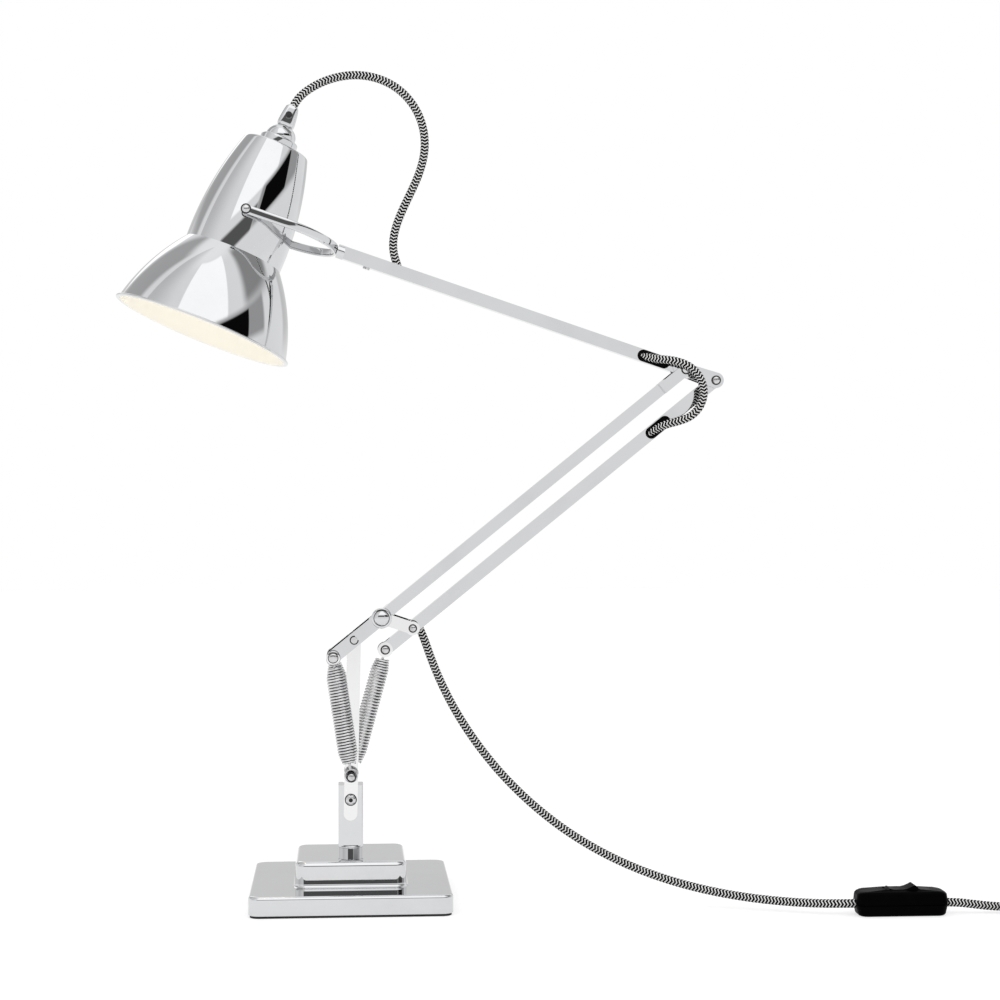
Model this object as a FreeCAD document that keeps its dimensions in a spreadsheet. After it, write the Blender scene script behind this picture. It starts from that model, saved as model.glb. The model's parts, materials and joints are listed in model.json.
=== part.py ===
"""Architect lamp with a stepped weighted base, a swivelling post and two uprights.

The lower arm, a parallel bar and the upper arm form a parallelogram that three springs balance.
A wishbone fork on the upper arm carries the bell shade. A braided cord runs along the arms to
an inline switch, and the rest of the lead lies in a tied coil with its plug.
"""
import FreeCAD
import Part
import Sketcher
import itertools
import math
import os
from types import SimpleNamespace

from FreeCAD import Placement, Rotation, Vector

# Driving sizes in millimetres and degrees
SIZES = {
    # Base
    "slab_width": 180.0, "slab_top": 18.9, "slab_corner": 10.0, "slab_edge": 2.5,
    "tier_width": 99.4, "tier_top": 41.9, "tier_corner": 10.0, "tier_edge": 3.5,
    "cover_wall": 1.6, "pad_thick": 2.0, "pad_inset": 1.5, "seat_gap": 0.3,
    "nut_pocket_dia": 34.0, "nut_pocket_top": 16.0,
    # Swivel
    "collar_dia": 22.6, "collar_rise": 7.6, "collar_edge": 1.6,
    "spigot_dia": 14.0, "spigot_depth": 18.0, "spindle_dia": 10.0, "spindle_tail": 6.0,
    "spindle_nut_width": 17.0, "spindle_nut_high": 6.0, "spindle_washer_dia": 26.0,
    "spindle_washer_thick": 1.5,
    "post_width": 22.6, "post_depth": 24.0, "post_over_bolt": 13.3, "post_corner": 2.5,
    "upright_width": 12.4, "upright_thick": 2.2, "upright_play": 0.5, "upright_heel": 12.8,
    "bolt_height": 91.7, "bolt_dia": 6.0, "bolt_head_dia": 11.0, "bolt_head_high": 3.2,
    "bolt_socket": 4.4, "bolt_socket_deep": 2.0, "nut_width": 10.0, "nut_high": 5.0,
    # Shoulder and elbow linkage
    "shoulder_offset": 3.05, "shoulder_height": 237.3, "anchor_rise": 22.1,
    "lower_angle": 39.05, "lower_length": 393.0, "upper_angle": 18.6,
    "knob_reach": 32.0, "tail_reach": 24.5, "crank": 30.0,
    "side_gap": 0.3, "pin_fit": 0.05, "pin_dia": 6.0, "spring_pin_dia": 5.0,
    "head_dia": 8.8, "head_thick": 1.8, "link_head_dia": 7.3, "clip_dia": 8.2, "clip_thick": 0.9,
    "cheek_width": 12.2, "cheek_thick": 2.4, "cheek_tip": 34.0,
    "block_start": 22.0, "block_end": 44.0, "spigot_length": 18.0, "spigot_gap": 0.05,
    "knob_dia": 18.7, "knob_thick": 6.5, "knob_face_dia": 12.0, "tail_head_dia": 10.0,
    "link_width": 11.0, "link_thick": 2.0, "spacer_dia": 9.0,
    "lower_tube": 10.5, "arm_tube": 11.5, "tube_wall": 1.2,
    "clevis_cheek": 2.2, "clevis_reach": 28.0, "clevis_throat": 20.5,
    "elbow_plate": 2.25, "elbow_eye_dia": 14.4, "elbow_plate_reach": 36.0, "arm_start": 23.5,
    "tail_slot_width": 6.4, "tail_slot_deep": 10.0, "bar_solid_end": 12.0,
    # Cord openings
    "cord_dia": 7.0, "slot_width": 9.8, "grommet_wall": 0.4, "grommet_proud": 0.5, "grommet_deep": 1.9,
    "arm_slot_near": 46.0, "arm_slot_far": 76.0, "bar_slot_near": 56.0, "bar_slot_far": 82.0,
    "arm_exit": 312.5, "arm_exit_length": 14.0, "bar_exit": 7.7, "bar_exit_length": 12.0,
    "exit_width": 8.4,
    # Springs
    "outer_spring_dia": 18.3, "middle_spring_dia": 17.0, "spring_end_dia": 13.0, "wire_dia": 1.6,
    "spring_gap": 0.5, "open_turns": 16.0, "cone_turns": 4.0, "cone_pitch": 2.1,
    "spring_top_room": 9.5, "spring_foot_room": 12.5,
    "eye_inner_dia": 8.2, "hook_wire_dia": 2.4, "hook_plug_dia": 9.2, "hook_plug_long": 7.0,
    "pin_overhang": 5.0,
    # Fork
    "arm_end": 361.0, "stem_inside": 31.0, "stem_fit": 0.1, "fork_collar_dia": 13.0,
    "fork_collar_long": 7.0, "groove_inside": 23.0, "groove_width": 5.2, "groove_deep": 1.5, "retaining_dia": 4.0,
    "retaining_head_dia": 6.4, "retaining_head_high": 1.8,
    "fork_spread": 98.0, "fork_strip": 3.0, "fork_height": 8.0, "fork_tip": 4.0, "fork_leg": 36.0,
    "fork_roll": 4.2, "rivet_dia": 5.0, "rivet_head_dia": 8.4, "rivet_head_high": 1.6,
    # Shade
    "shade_lean": 21.5, "pivot_above_rim": 110.6, "shade_wall": 1.2,
    "rim_radius": 83.0, "rim_bead": 2.0, "mouth_radius": 80.3, "bell_bulge_radius": 67.8,
    "bell_bulge_height": 39.0, "waist_radius": 45.2, "waist_height": 76.0,
    "body_bulge_radius": 42.0, "body_bulge_height": 134.0, "crown_radius": 29.4, "crown_height": 182.5,
    "nipple_dia": 20.0, "nipple_fit": 0.2, "nipple_high": 9.0,
    "pivot_screw_dia": 4.0, "pivot_head_dia": 9.2, "pivot_head_high": 2.2, "pivot_nut_long": 3.0,
    "holder_dia": 38.0, "holder_bore_dia": 27.0, "holder_mouth": 130.0, "holder_floor": 156.0,
    "cap_ring_dia": 35.0, "cap_ring_high": 9.0, "cap_dome_dia": 27.0, "cap_dome_high": 12.0,
    "cap_crown_dia": 13.0, "clamp_foot": 17.0, "clamp_head": 12.0, "clamp_high": 20.0, "clamp_deep": 13.0,
    "clamp_screw_dia": 6.0, "clamp_screw_high": 2.6, "clamp_bore_deep": 8.0, "cord_fit": 0.1,
    "bulb_radius": 29.0, "bulb_centre": 92.0, "bulb_neck_radius": 14.0, "bulb_neck": 128.0,
    "bulb_cap_dia": 26.4, "bulb_cap_long": 27.7,
    # Switch
    "switch_left": 442.0, "switch_long": 82.0, "switch_wide": 28.0, "switch_middle": -109.0,
    "switch_split": 10.0, "switch_shoulder": 18.0, "switch_knee": 21.0, "switch_crown": 23.6,
    "switch_room": 14.0, "switch_taper": 5.0, "switch_corner": 5.0, "switch_wall": 2.0, "switch_end_wall": 9.0,
    "rocker_long": 30.0, "rocker_wide": 15.0, "rocker_gap": 0.5, "rocker_axis": 15.0,
    "rocker_low": 12.0, "rocker_high": 27.0, "rocker_dip": 24.4,
    "trunnion_dia": 3.0, "trunnion_long": 1.6, "trunnion_gap": 0.3,
    # Lead coil, tie and plug
    "switch_run": 17.0, "coil_across": 77.0, "coil_x": 624.0, "coil_y": -157.0, "layer_turns": 2.5,
    "turn_gap": 1.5, "layer_gap": 0.8, "tie_thick": 0.9, "tie_wide": 8.0, "tie_gap": 0.15, "plug_lead": 30.0,
    "plug_long": 34.0, "plug_wide": 27.0, "plug_high": 24.0, "plug_corner": 5.0, "plug_tail_long": 22.0,
    "plug_tail_dia": 12.0, "plug_pin_dia": 4.4, "plug_pin_long": 19.0, "plug_pin_spacing": 18.6,
}
S = SimpleNamespace(**SIZES)

doc = FreeCAD.newDocument("ArchitectLamp")
sheet = doc.addObject("Spreadsheet::Sheet", "Sizes")
rows = itertools.count(1)
subparts = []


def cell(alias, value):
    """Write one size into the sheet and return the reference to its cell."""
    row = next(rows)
    sheet.set(f"A{row}", alias)
    sheet.set(f"B{row}", f"{value:.9g}")
    sheet.setAlias(f"B{row}", alias)
    return f"Sizes.{alias}"


def bind(thing, prop, alias, value):
    """Give a property its value and tie it to a cell of the sheet."""
    setattr(thing, prop, value)
    thing.setExpression(prop, cell(alias, value))


def keep(thing, label, placement=None):
    """Name a finished sub-part and put it where it belongs."""
    thing.Label = label
    if placement is not None:
        thing.Placement = placement
    subparts.append(thing)
    return thing


# Sketches and features


def new_sketch(body, name, role="XY_Plane"):
    """Start a sketch on one of the body's own origin planes."""
    sketch = body.newObject("Sketcher::SketchObject", name)
    plane = [item for item in body.Origin.OriginFeatures if item.Role == role][0]
    sketch.AttachmentSupport = [(plane, "")]
    sketch.MapMode = "FlatFace"
    return sketch


def dimension(sketch, kind, places, alias, value):
    """Add a named dimension that reads its value from the sheet."""
    index = sketch.addConstraint(Sketcher.Constraint(kind, *places, value))
    sketch.renameConstraint(index, alias)
    sketch.setExpression(f"Constraints.{alias}", cell(alias, value))


def pin_coordinate(sketch, kind, geometry, point, alias, value):
    """Fix one coordinate of a sketch point from the sketch origin."""
    if abs(value) < 1e-7:
        axis = -2 if kind == "DistanceX" else -1
        sketch.addConstraint(Sketcher.Constraint("PointOnObject", geometry, point, axis))
    elif value > 0:
        dimension(sketch, kind, (-1, 1, geometry, point), alias, value)
    else:
        dimension(sketch, kind, (geometry, point, -1, 1), alias, -value)


def circle_through(first, middle, last):
    """Return the centre and radius of the circle through three points."""
    (ax, ay), (bx, by), (cx, cy) = first, middle, last
    twice = 2.0 * (ax * (by - cy) + bx * (cy - ay) + cx * (ay - by))
    sa, sb, sc = ax * ax + ay * ay, bx * bx + by * by, cx * cx + cy * cy
    x = (sa * (by - cy) + sb * (cy - ay) + sc * (ay - by)) / twice
    y = (sa * (cx - bx) + sb * (ax - cx) + sc * (bx - ax)) / twice
    return (x, y), math.hypot(ax - x, ay - y)


def draw_outline(sketch, alias, points):
    """Draw a closed outline; a point (x, y, via_x, via_y) starts an arc through the via point."""
    count = len(points)
    first = sketch.GeometryCount
    starts, ends = [], []
    for i, point in enumerate(points):
        here, there = point[:2], points[(i + 1) % count][:2]
        if len(point) == 2:
            sketch.addGeometry(Part.LineSegment(Vector(*here, 0), Vector(*there, 0)))
            starts.append(1)
            ends.append(2)
            continue
        centre, radius = circle_through(here, point[2:], there)
        side = (point[2] - here[0]) * (there[1] - here[1]) - (point[3] - here[1]) * (there[0] - here[0])
        begin, finish = (here, there) if side > 0 else (there, here)
        angles = [math.atan2(p[1] - centre[1], p[0] - centre[0]) for p in (begin, finish)]
        circle = Part.Circle(Vector(*centre, 0), Vector(0, 0, 1), radius)
        sketch.addGeometry(Part.ArcOfCircle(circle, *angles))
        starts.append(1 if side > 0 else 2)
        ends.append(2 if side > 0 else 1)
        chord = (there[0] - here[0], there[1] - here[1])
        if math.hypot(*chord) > 1.9 * radius:
            kind = "DistanceX" if abs(chord[1]) > abs(chord[0]) else "DistanceY"
            value = centre[0] if kind == "DistanceX" else centre[1]
            pin_coordinate(sketch, kind, first + i, 3, f"{alias}_centre_{i}", value)
        else:
            dimension(sketch, "Radius", (first + i,), f"{alias}_round_{i}", radius)
    for i, point in enumerate(points):
        edge, after = first + i, first + (i + 1) % count
        sketch.addConstraint(Sketcher.Constraint("Coincident", edge, ends[i], after, starts[(i + 1) % count]))
        pin_coordinate(sketch, "DistanceX", edge, starts[i], f"{alias}_across_{i}", point[0])
        pin_coordinate(sketch, "DistanceY", edge, starts[i], f"{alias}_along_{i}", point[1])


def draw_circle(sketch, alias, x, y, radius):
    """Draw a circle with its centre and radius dimensioned."""
    index = sketch.GeometryCount
    sketch.addGeometry(Part.Circle(Vector(x, y, 0), Vector(0, 0, 1), radius))
    pin_coordinate(sketch, "DistanceX", index, 3, f"{alias}_x", x)
    pin_coordinate(sketch, "DistanceY", index, 3, f"{alias}_y", y)
    dimension(sketch, "Radius", (index,), f"{alias}_radius", radius)


def rectangle(x0, x1, y0, y1):
    """Return the corners of a rectangle."""
    return [(x0, y0), (x1, y0), (x1, y1), (x0, y1)]


def stadium(x0, x1, radius, far_radius=None):
    """Return the outline of a strip with round ends, tangent to both end circles."""
    far = radius if far_radius is None else far_radius
    lean = math.asin((radius - far) / (x1 - x0))
    sx, sy = math.sin(lean), math.cos(lean)
    return [
        (x0 + radius * sx, -radius * sy),
        (x1 + far * sx, -far * sy, x1 + far, 0.0),
        (x1 + far * sx, far * sy),
        (x0 + radius * sx, radius * sy, x0 - radius, 0.0),
    ]


def pad(body, sketch, length, alias, symmetric=False, downwards=False):
    """Extrude a sketch of the body."""
    feature = body.newObject("PartDesign::Pad", f"{alias}_pad")
    feature.Profile = sketch
    feature.SideType = "Symmetric" if symmetric else "One side"
    feature.Reversed = downwards
    bind(feature, "Length", f"{alias}_length", length)
    return feature


def pocket(body, outline, alias, length=None, role="XY_Plane", symmetric=False, forwards=False, hole=None):
    """Cut a pocket and make sure that it removed material."""
    body.recompute(True)
    before = body.Shape.Volume
    sketch = new_sketch(body, f"{alias}_outline", role)
    if hole is None:
        draw_outline(sketch, alias, outline)
    else:
        draw_circle(sketch, alias, *hole)
    feature = body.newObject("PartDesign::Pocket", f"{alias}_pocket")
    feature.Profile = sketch
    feature.SideType = "Symmetric" if symmetric else "One side"
    feature.Reversed = forwards
    if length is None:
        feature.Type = "ThroughAll"
    else:
        bind(feature, "Length", f"{alias}_depth", length)
    body.recompute(True)
    if body.Shape.Volume > before - 0.01:
        raise ValueError(f"{alias} cuts nothing")
    return feature


def round_edges(body, alias, radius, chosen):
    """Fillet the edges of the body's last feature that the test chooses."""
    body.recompute(True)
    tip = body.Tip
    names = [f"Edge{i + 1}" for i, edge in enumerate(tip.Shape.Edges) if chosen(edge)]
    feature = body.newObject("PartDesign::Fillet", f"{alias}_fillet")
    feature.Base = (tip, names)
    bind(feature, "Radius", f"{alias}_fillet_radius", radius)
    return feature


def runs_along(edge, axis):
    """Tell whether a straight edge runs along one of the axes 0, 1 or 2."""
    if len(edge.Vertexes) < 2 or not isinstance(edge.Curve, Part.Line):
        return False
    way = edge.Vertexes[1].Point - edge.Vertexes[0].Point
    return abs(abs(way[axis]) - way.Length) < 1e-6


def level_edge(edge, height):
    """Tell whether an edge lies flat at one height."""
    return abs(edge.BoundBox.ZMin - height) < 1e-6 and abs(edge.BoundBox.ZMax - height) < 1e-6


def new_body(name):
    """Start a body."""
    return doc.addObject("PartDesign::Body", f"{name}_body")


def turned(label, outline):
    """Make a turned piece from half its section, drawn as radius and height."""
    body = new_body(label)
    sketch = new_sketch(body, f"{label}_section", "XZ_Plane")
    draw_outline(sketch, label, outline)
    feature = body.newObject("PartDesign::Revolution", f"{label}_turn")
    feature.Profile = sketch
    feature.ReferenceAxis = (sketch, ["V_Axis"])
    bind(feature, "Angle", f"{label}_sweep", 360.0)
    return body


def strip(label, outline, thickness, holes, symmetric=False):
    """Make a flat piece with pin holes, given as distance along it and radius."""
    body = new_body(label)
    sketch = new_sketch(body, f"{label}_outline")
    draw_outline(sketch, label, outline)
    for i, (x, radius) in enumerate(holes):
        draw_circle(sketch, f"{label}_hole_{i}", x, 0.0, radius)
    pad(body, sketch, thickness, label, symmetric)
    return body


def hexagon_nut(label, width, height, bore):
    """Make a hexagonal nut with a plain bore."""
    corner = width / math.sqrt(3.0)
    turns = [math.radians(60 * i) for i in range(6)]
    points = [(corner * math.cos(turn), corner * math.sin(turn)) for turn in turns]
    body = new_body(label)
    sketch = new_sketch(body, f"{label}_outline")
    draw_outline(sketch, label, points)
    draw_circle(sketch, f"{label}_bore", 0.0, 0.0, bore)
    pad(body, sketch, height, label)
    return body


def shaft_outline(radius, length, head_radius=0.0, head=0.0, tail_radius=0.0, tail=0.0):
    """Return half the section of a pin with an optional head at each end."""
    points = [(0.0, 0.0)]
    if head:
        points += [(head_radius, 0.0), (head_radius, head), (radius, head)]
    else:
        points += [(radius, 0.0)]
    if tail:
        points += [(radius, length - tail), (tail_radius, length - tail), (tail_radius, length)]
    else:
        points += [(radius, length)]
    return points + [(0.0, length)]


def gather(label, things):
    """Join separate solids into one node without fusing them."""
    group = doc.addObject("Part::Compound", f"{label}_group")
    group.Links = things
    return group


def cut_bore(label, base, radius, length, placement):
    """Drill a straight bore through a finished piece."""
    tool = doc.addObject("Part::Cylinder", f"{label}_drill")
    bind(tool, "Radius", f"{label}_drill_radius", radius)
    bind(tool, "Height", f"{label}_drill_length", length)
    tool.Placement = placement
    result = doc.addObject("Part::Cut", f"{label}_drilled")
    result.Base = base
    result.Tool = tool
    return result


def feature(label, shape):
    """Hold a swept shape as a document object."""
    thing = doc.addObject("Part::Feature", f"{label}_shape")
    thing.Shape = shape
    return thing


# Frames and pivots


def along(point, angle, distance):
    """Step from a point of the arm plane in a direction given in degrees."""
    turn = math.radians(angle)
    return point[0] + distance * math.cos(turn), point[1] + distance * math.sin(turn)


def arm_frame(point, angle, y=0.0):
    """Local x runs along the arm, local y across it in the arm plane, local z to the front."""
    turn = Rotation(Vector(1, 0, 0), 90).multiply(Rotation(Vector(0, 0, 1), angle))
    return Placement(Vector(point[0], y, point[1]), turn)


def cross_frame(point, y):
    """Local z runs backwards along the pivot axis from the given depth."""
    return Placement(Vector(point[0], y, point[1]), Rotation(Vector(1, 0, 0), -90))


UPPER_WAY = 180.0 - S.upper_angle
POST_BOLT = (0.0, S.bolt_height)
SHOULDER = (S.shoulder_offset, S.shoulder_height)
UPRIGHT_LONG = math.hypot(SHOULDER[0], SHOULDER[1] - S.bolt_height)
UPRIGHT_WAY = math.degrees(math.atan2(SHOULDER[1] - S.bolt_height, SHOULDER[0]))
ANCHOR = along(POST_BOLT, UPRIGHT_WAY, S.anchor_rise)
KNOB = along(SHOULDER, S.lower_angle, S.knob_reach)
TAIL = along(SHOULDER, S.lower_angle, -S.tail_reach)
ELBOW = along(SHOULDER, S.lower_angle, S.lower_length)
BAR_TAIL = along(SHOULDER, UPPER_WAY, -S.crank)
LINK_END = along(KNOB, UPPER_WAY, -S.crank)
ARM_END = along(ELBOW, UPPER_WAY, -S.crank)
FORK_APEX = S.arm_end + S.fork_collar_long
GROOVE_AT = S.arm_end - S.groove_inside
SHADE_PIVOT = FORK_APEX + (S.fork_spread + S.fork_strip) / 2 + S.fork_leg
SHADE_AXIS = along(ARM_END, UPPER_WAY, SHADE_PIVOT)

# Distances of the layers from the arm plane
BAR_FACE = S.arm_tube / 2 - S.side_gap
PLATE_IN = S.arm_tube / 2
PLATE_OUT = PLATE_IN + S.elbow_plate
CLEVIS_IN = PLATE_OUT + S.side_gap
CLEVIS_OUT = CLEVIS_IN + S.clevis_cheek
UPRIGHT_IN = S.middle_spring_dia / 2 + S.spring_gap
UPRIGHT_OUT = UPRIGHT_IN + S.upright_thick
CHEEK_IN = UPRIGHT_OUT + S.side_gap
CHEEK_OUT = CHEEK_IN + S.cheek_thick
LINK_IN = CHEEK_OUT + S.side_gap
LINK_OUT = LINK_IN + S.link_thick
OUTER_AXIS = UPRIGHT_OUT + S.outer_spring_dia / 2 + S.spring_gap
PIN_REACH = OUTER_AXIS + S.pin_overhang
PIN = S.pin_dia / 2
SPRING_PIN = S.spring_pin_dia / 2
PIN_HOLE = PIN + S.pin_fit
SPRING_PIN_HOLE = SPRING_PIN + S.pin_fit
CORD = S.cord_dia / 2


def mirrored_pair(label, build, inner, thickness, point, angle):
    """Place the same flat piece on the front and the back of the arm plane."""
    front, back = build(f"{label}_front"), build(f"{label}_back")
    front.Placement = arm_frame(point, angle, -inner)
    back.Placement = arm_frame(point, angle, inner + thickness)
    return front, back


# Base


def build_base():
    """Two-step chromed cover over a cast weight, on a thin pad, with the swivel collar on top."""
    half, tier = S.slab_width / 2, S.tier_width / 2
    floor = S.pad_thick
    cover = new_body("base_cover")
    sketch = new_sketch(cover, "base_cover_slab")
    draw_outline(sketch, "slab", rectangle(-half, half, -half, half))
    pad(cover, sketch, S.slab_top - floor, "slab")
    round_edges(cover, "slab_corner", S.slab_corner, lambda edge: runs_along(edge, 2))
    sketch = new_sketch(cover, "base_cover_tier")
    draw_outline(sketch, "tier", rectangle(-tier, tier, -tier, tier))
    pad(cover, sketch, S.tier_top - floor, "tier")
    inside_tier = lambda edge: runs_along(edge, 2) and edge.BoundBox.ZMax > S.slab_top - floor + 1
    round_edges(cover, "tier_corner", S.tier_corner, inside_tier)
    round_edges(cover, "tier_edge", S.tier_edge, lambda edge: level_edge(edge, S.tier_top - floor))
    slab_rim = lambda edge: level_edge(edge, S.slab_top - floor) and edge.BoundBox.DiagonalLength > 1 and (
        max(abs(edge.BoundBox.XMin), abs(edge.BoundBox.XMax)) > half - S.slab_corner - 1
        and max(abs(edge.BoundBox.YMin), abs(edge.BoundBox.YMax)) > half - S.slab_corner - 1)
    round_edges(cover, "slab_edge", S.slab_edge, slab_rim)
    room = half - S.cover_wall
    tier_room = tier - S.cover_wall
    slab_depth = S.slab_top - floor - S.cover_wall
    pocket(cover, rectangle(-room, room, -room, room), "slab_room", slab_depth, forwards=True)
    tier_depth = S.tier_top - floor - S.cover_wall
    inside = rectangle(-tier_room, tier_room, -tier_room, tier_room)
    pocket(cover, inside, "tier_room", tier_depth, forwards=True)
    pocket(cover, None, "collar_hole", forwards=True, hole=(0.0, 0.0, S.spigot_dia / 2 + S.pin_fit))
    keep(cover, "base_cover", Placement(Vector(0, 0, floor), Rotation()))

    weight = new_body("base_weight")
    low, high = room - S.seat_gap, tier_room - S.seat_gap
    for name, side, top in (("weight_slab", low, S.slab_top), ("weight_tier", high, S.tier_top)):
        sketch = new_sketch(weight, f"{name}_outline")
        draw_outline(sketch, name, rectangle(-side, side, -side, side))
        pad(weight, sketch, top - floor - S.cover_wall - S.seat_gap, name)
    corner_gap = S.slab_corner
    round_edges(weight, "weight_corner", corner_gap, lambda edge: runs_along(edge, 2))
    pocket(weight, None, "weight_bore", forwards=True, hole=(0.0, 0.0, S.spigot_dia / 2 + S.pin_fit))
    nut_depth = S.nut_pocket_top - floor
    pocket(weight, None, "nut_pocket", nut_depth, forwards=True, hole=(0.0, 0.0, S.nut_pocket_dia / 2))
    keep(weight, "base_weight", Placement(Vector(0, 0, floor), Rotation()))

    foot = new_body("base_pad")
    reach = half - S.pad_inset
    sketch = new_sketch(foot, "base_pad_outline")
    draw_outline(sketch, "base_pad", rectangle(-reach, reach, -reach, reach))
    pad(foot, sketch, floor, "base_pad")
    round_edges(foot, "pad_corner", S.slab_corner - S.pad_inset, lambda edge: runs_along(edge, 2))
    keep(foot, "base_pad", Placement())

    outer, spigot = S.collar_dia / 2, S.spigot_dia / 2
    bore = S.spindle_dia / 2 + S.pin_fit
    top = S.spigot_depth + S.collar_rise
    edge = S.collar_edge
    slant = edge * math.sqrt(0.5)
    collar = turned("pivot_collar", [
        (bore, 0.0), (spigot, 0.0), (spigot, S.spigot_depth), (outer, S.spigot_depth),
        (outer, top - edge, outer - edge + slant, top - edge + slant), (outer - edge, top), (bore, top),
    ])
    keep(collar, "pivot_collar", Placement(Vector(0, 0, S.tier_top - S.spigot_depth), Rotation()))


# Swivel post, uprights and their fasteners


def build_swivel():
    """H-shaped post on a spindle, with an upright bolted into each of its two channels."""
    foot = S.tier_top + S.collar_rise + S.seat_gap
    wide, deep = S.post_width / 2, S.post_depth / 2
    channel = S.upright_width / 2 + S.upright_play
    web = UPRIGHT_IN
    post = new_body("swivel_post")
    sketch = new_sketch(post, "swivel_post_section")
    draw_outline(sketch, "post", [
        (-wide, -deep), (-channel, -deep), (-channel, -web), (channel, -web), (channel, -deep), (wide, -deep),
        (wide, deep), (channel, deep), (channel, web), (-channel, web), (-channel, deep), (-wide, deep),
    ])
    pad(post, sketch, S.bolt_height + S.post_over_bolt - foot, "post")
    outer_corner = lambda edge: runs_along(edge, 2) and abs(edge.BoundBox.XMin) > wide - 0.01
    round_edges(post, "post_corner", S.post_corner, outer_corner)
    sketch = new_sketch(post, "spindle_section")
    draw_circle(sketch, "spindle", 0.0, 0.0, S.spindle_dia / 2)
    pad(post, sketch, foot - S.spindle_tail, "spindle", downwards=True)
    hole = (0.0, S.bolt_height - foot, S.bolt_dia / 2 + S.pin_fit)
    pocket(post, None, "post_bolt_hole", role="XZ_Plane", symmetric=True, hole=hole)
    keep(post, "swivel_post", Placement(Vector(0, 0, foot), Rotation()))

    nut = hexagon_nut("spindle_nut", S.spindle_nut_width, S.spindle_nut_high, S.spindle_dia / 2 + S.pin_fit)
    sketch = new_sketch(nut, "spindle_washer_section")
    draw_circle(sketch, "spindle_washer", 0.0, 0.0, S.spindle_washer_dia / 2)
    draw_circle(sketch, "spindle_washer_bore", 0.0, 0.0, S.spindle_dia / 2 + S.pin_fit)
    pad(nut, sketch, S.spindle_washer_thick, "spindle_washer", downwards=True)
    ceiling = S.nut_pocket_top - S.seat_gap - S.spindle_washer_thick
    keep(nut, "spindle_nut", Placement(Vector(0, 0, ceiling), Rotation(Vector(1, 0, 0), 180)))

    foot_reach = S.upright_heel
    holes = [
        (foot_reach, S.bolt_dia / 2 + S.pin_fit),
        (foot_reach + S.anchor_rise, SPRING_PIN_HOLE),
        (foot_reach + UPRIGHT_LONG, PIN_HOLE),
    ]
    outline = stadium(0.0, foot_reach + UPRIGHT_LONG, S.upright_width / 2)
    build = lambda label: strip(label, outline, S.upright_thick, holes)
    start = along(POST_BOLT, UPRIGHT_WAY, -foot_reach)
    pair = mirrored_pair("upright", build, UPRIGHT_IN, S.upright_thick, start, UPRIGHT_WAY)
    for upright, label in zip(pair, ("upright_front", "upright_back")):
        keep(upright, label)

    head = S.bolt_head_high
    grip = 2 * UPRIGHT_OUT
    bolt = turned("post_bolt", shaft_outline(
        S.bolt_dia / 2, head + grip + S.nut_high, S.bolt_head_dia / 2, head))
    socket = S.bolt_socket / math.sqrt(3.0)
    turns = [math.radians(60 * i) for i in range(6)]
    corners = [(socket * math.cos(turn), socket * math.sin(turn)) for turn in turns]
    pocket(bolt, corners, "bolt_socket", S.bolt_socket_deep, forwards=True)
    keep(bolt, "post_bolt", cross_frame(POST_BOLT, -UPRIGHT_OUT - head))
    nut = hexagon_nut("post_nut", S.nut_width, S.nut_high, S.bolt_dia / 2 + S.pin_fit)
    keep(nut, "post_nut", cross_frame(POST_BOLT, UPRIGHT_OUT))

    pin = turned("spring_anchor_pin", shaft_outline(
        SPRING_PIN, 2 * PIN_REACH, S.head_dia / 2, S.head_thick, S.head_dia / 2, S.head_thick))
    keep(pin, "spring_anchor_pin", cross_frame(ANCHOR, -PIN_REACH))


# Lower arm


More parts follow.
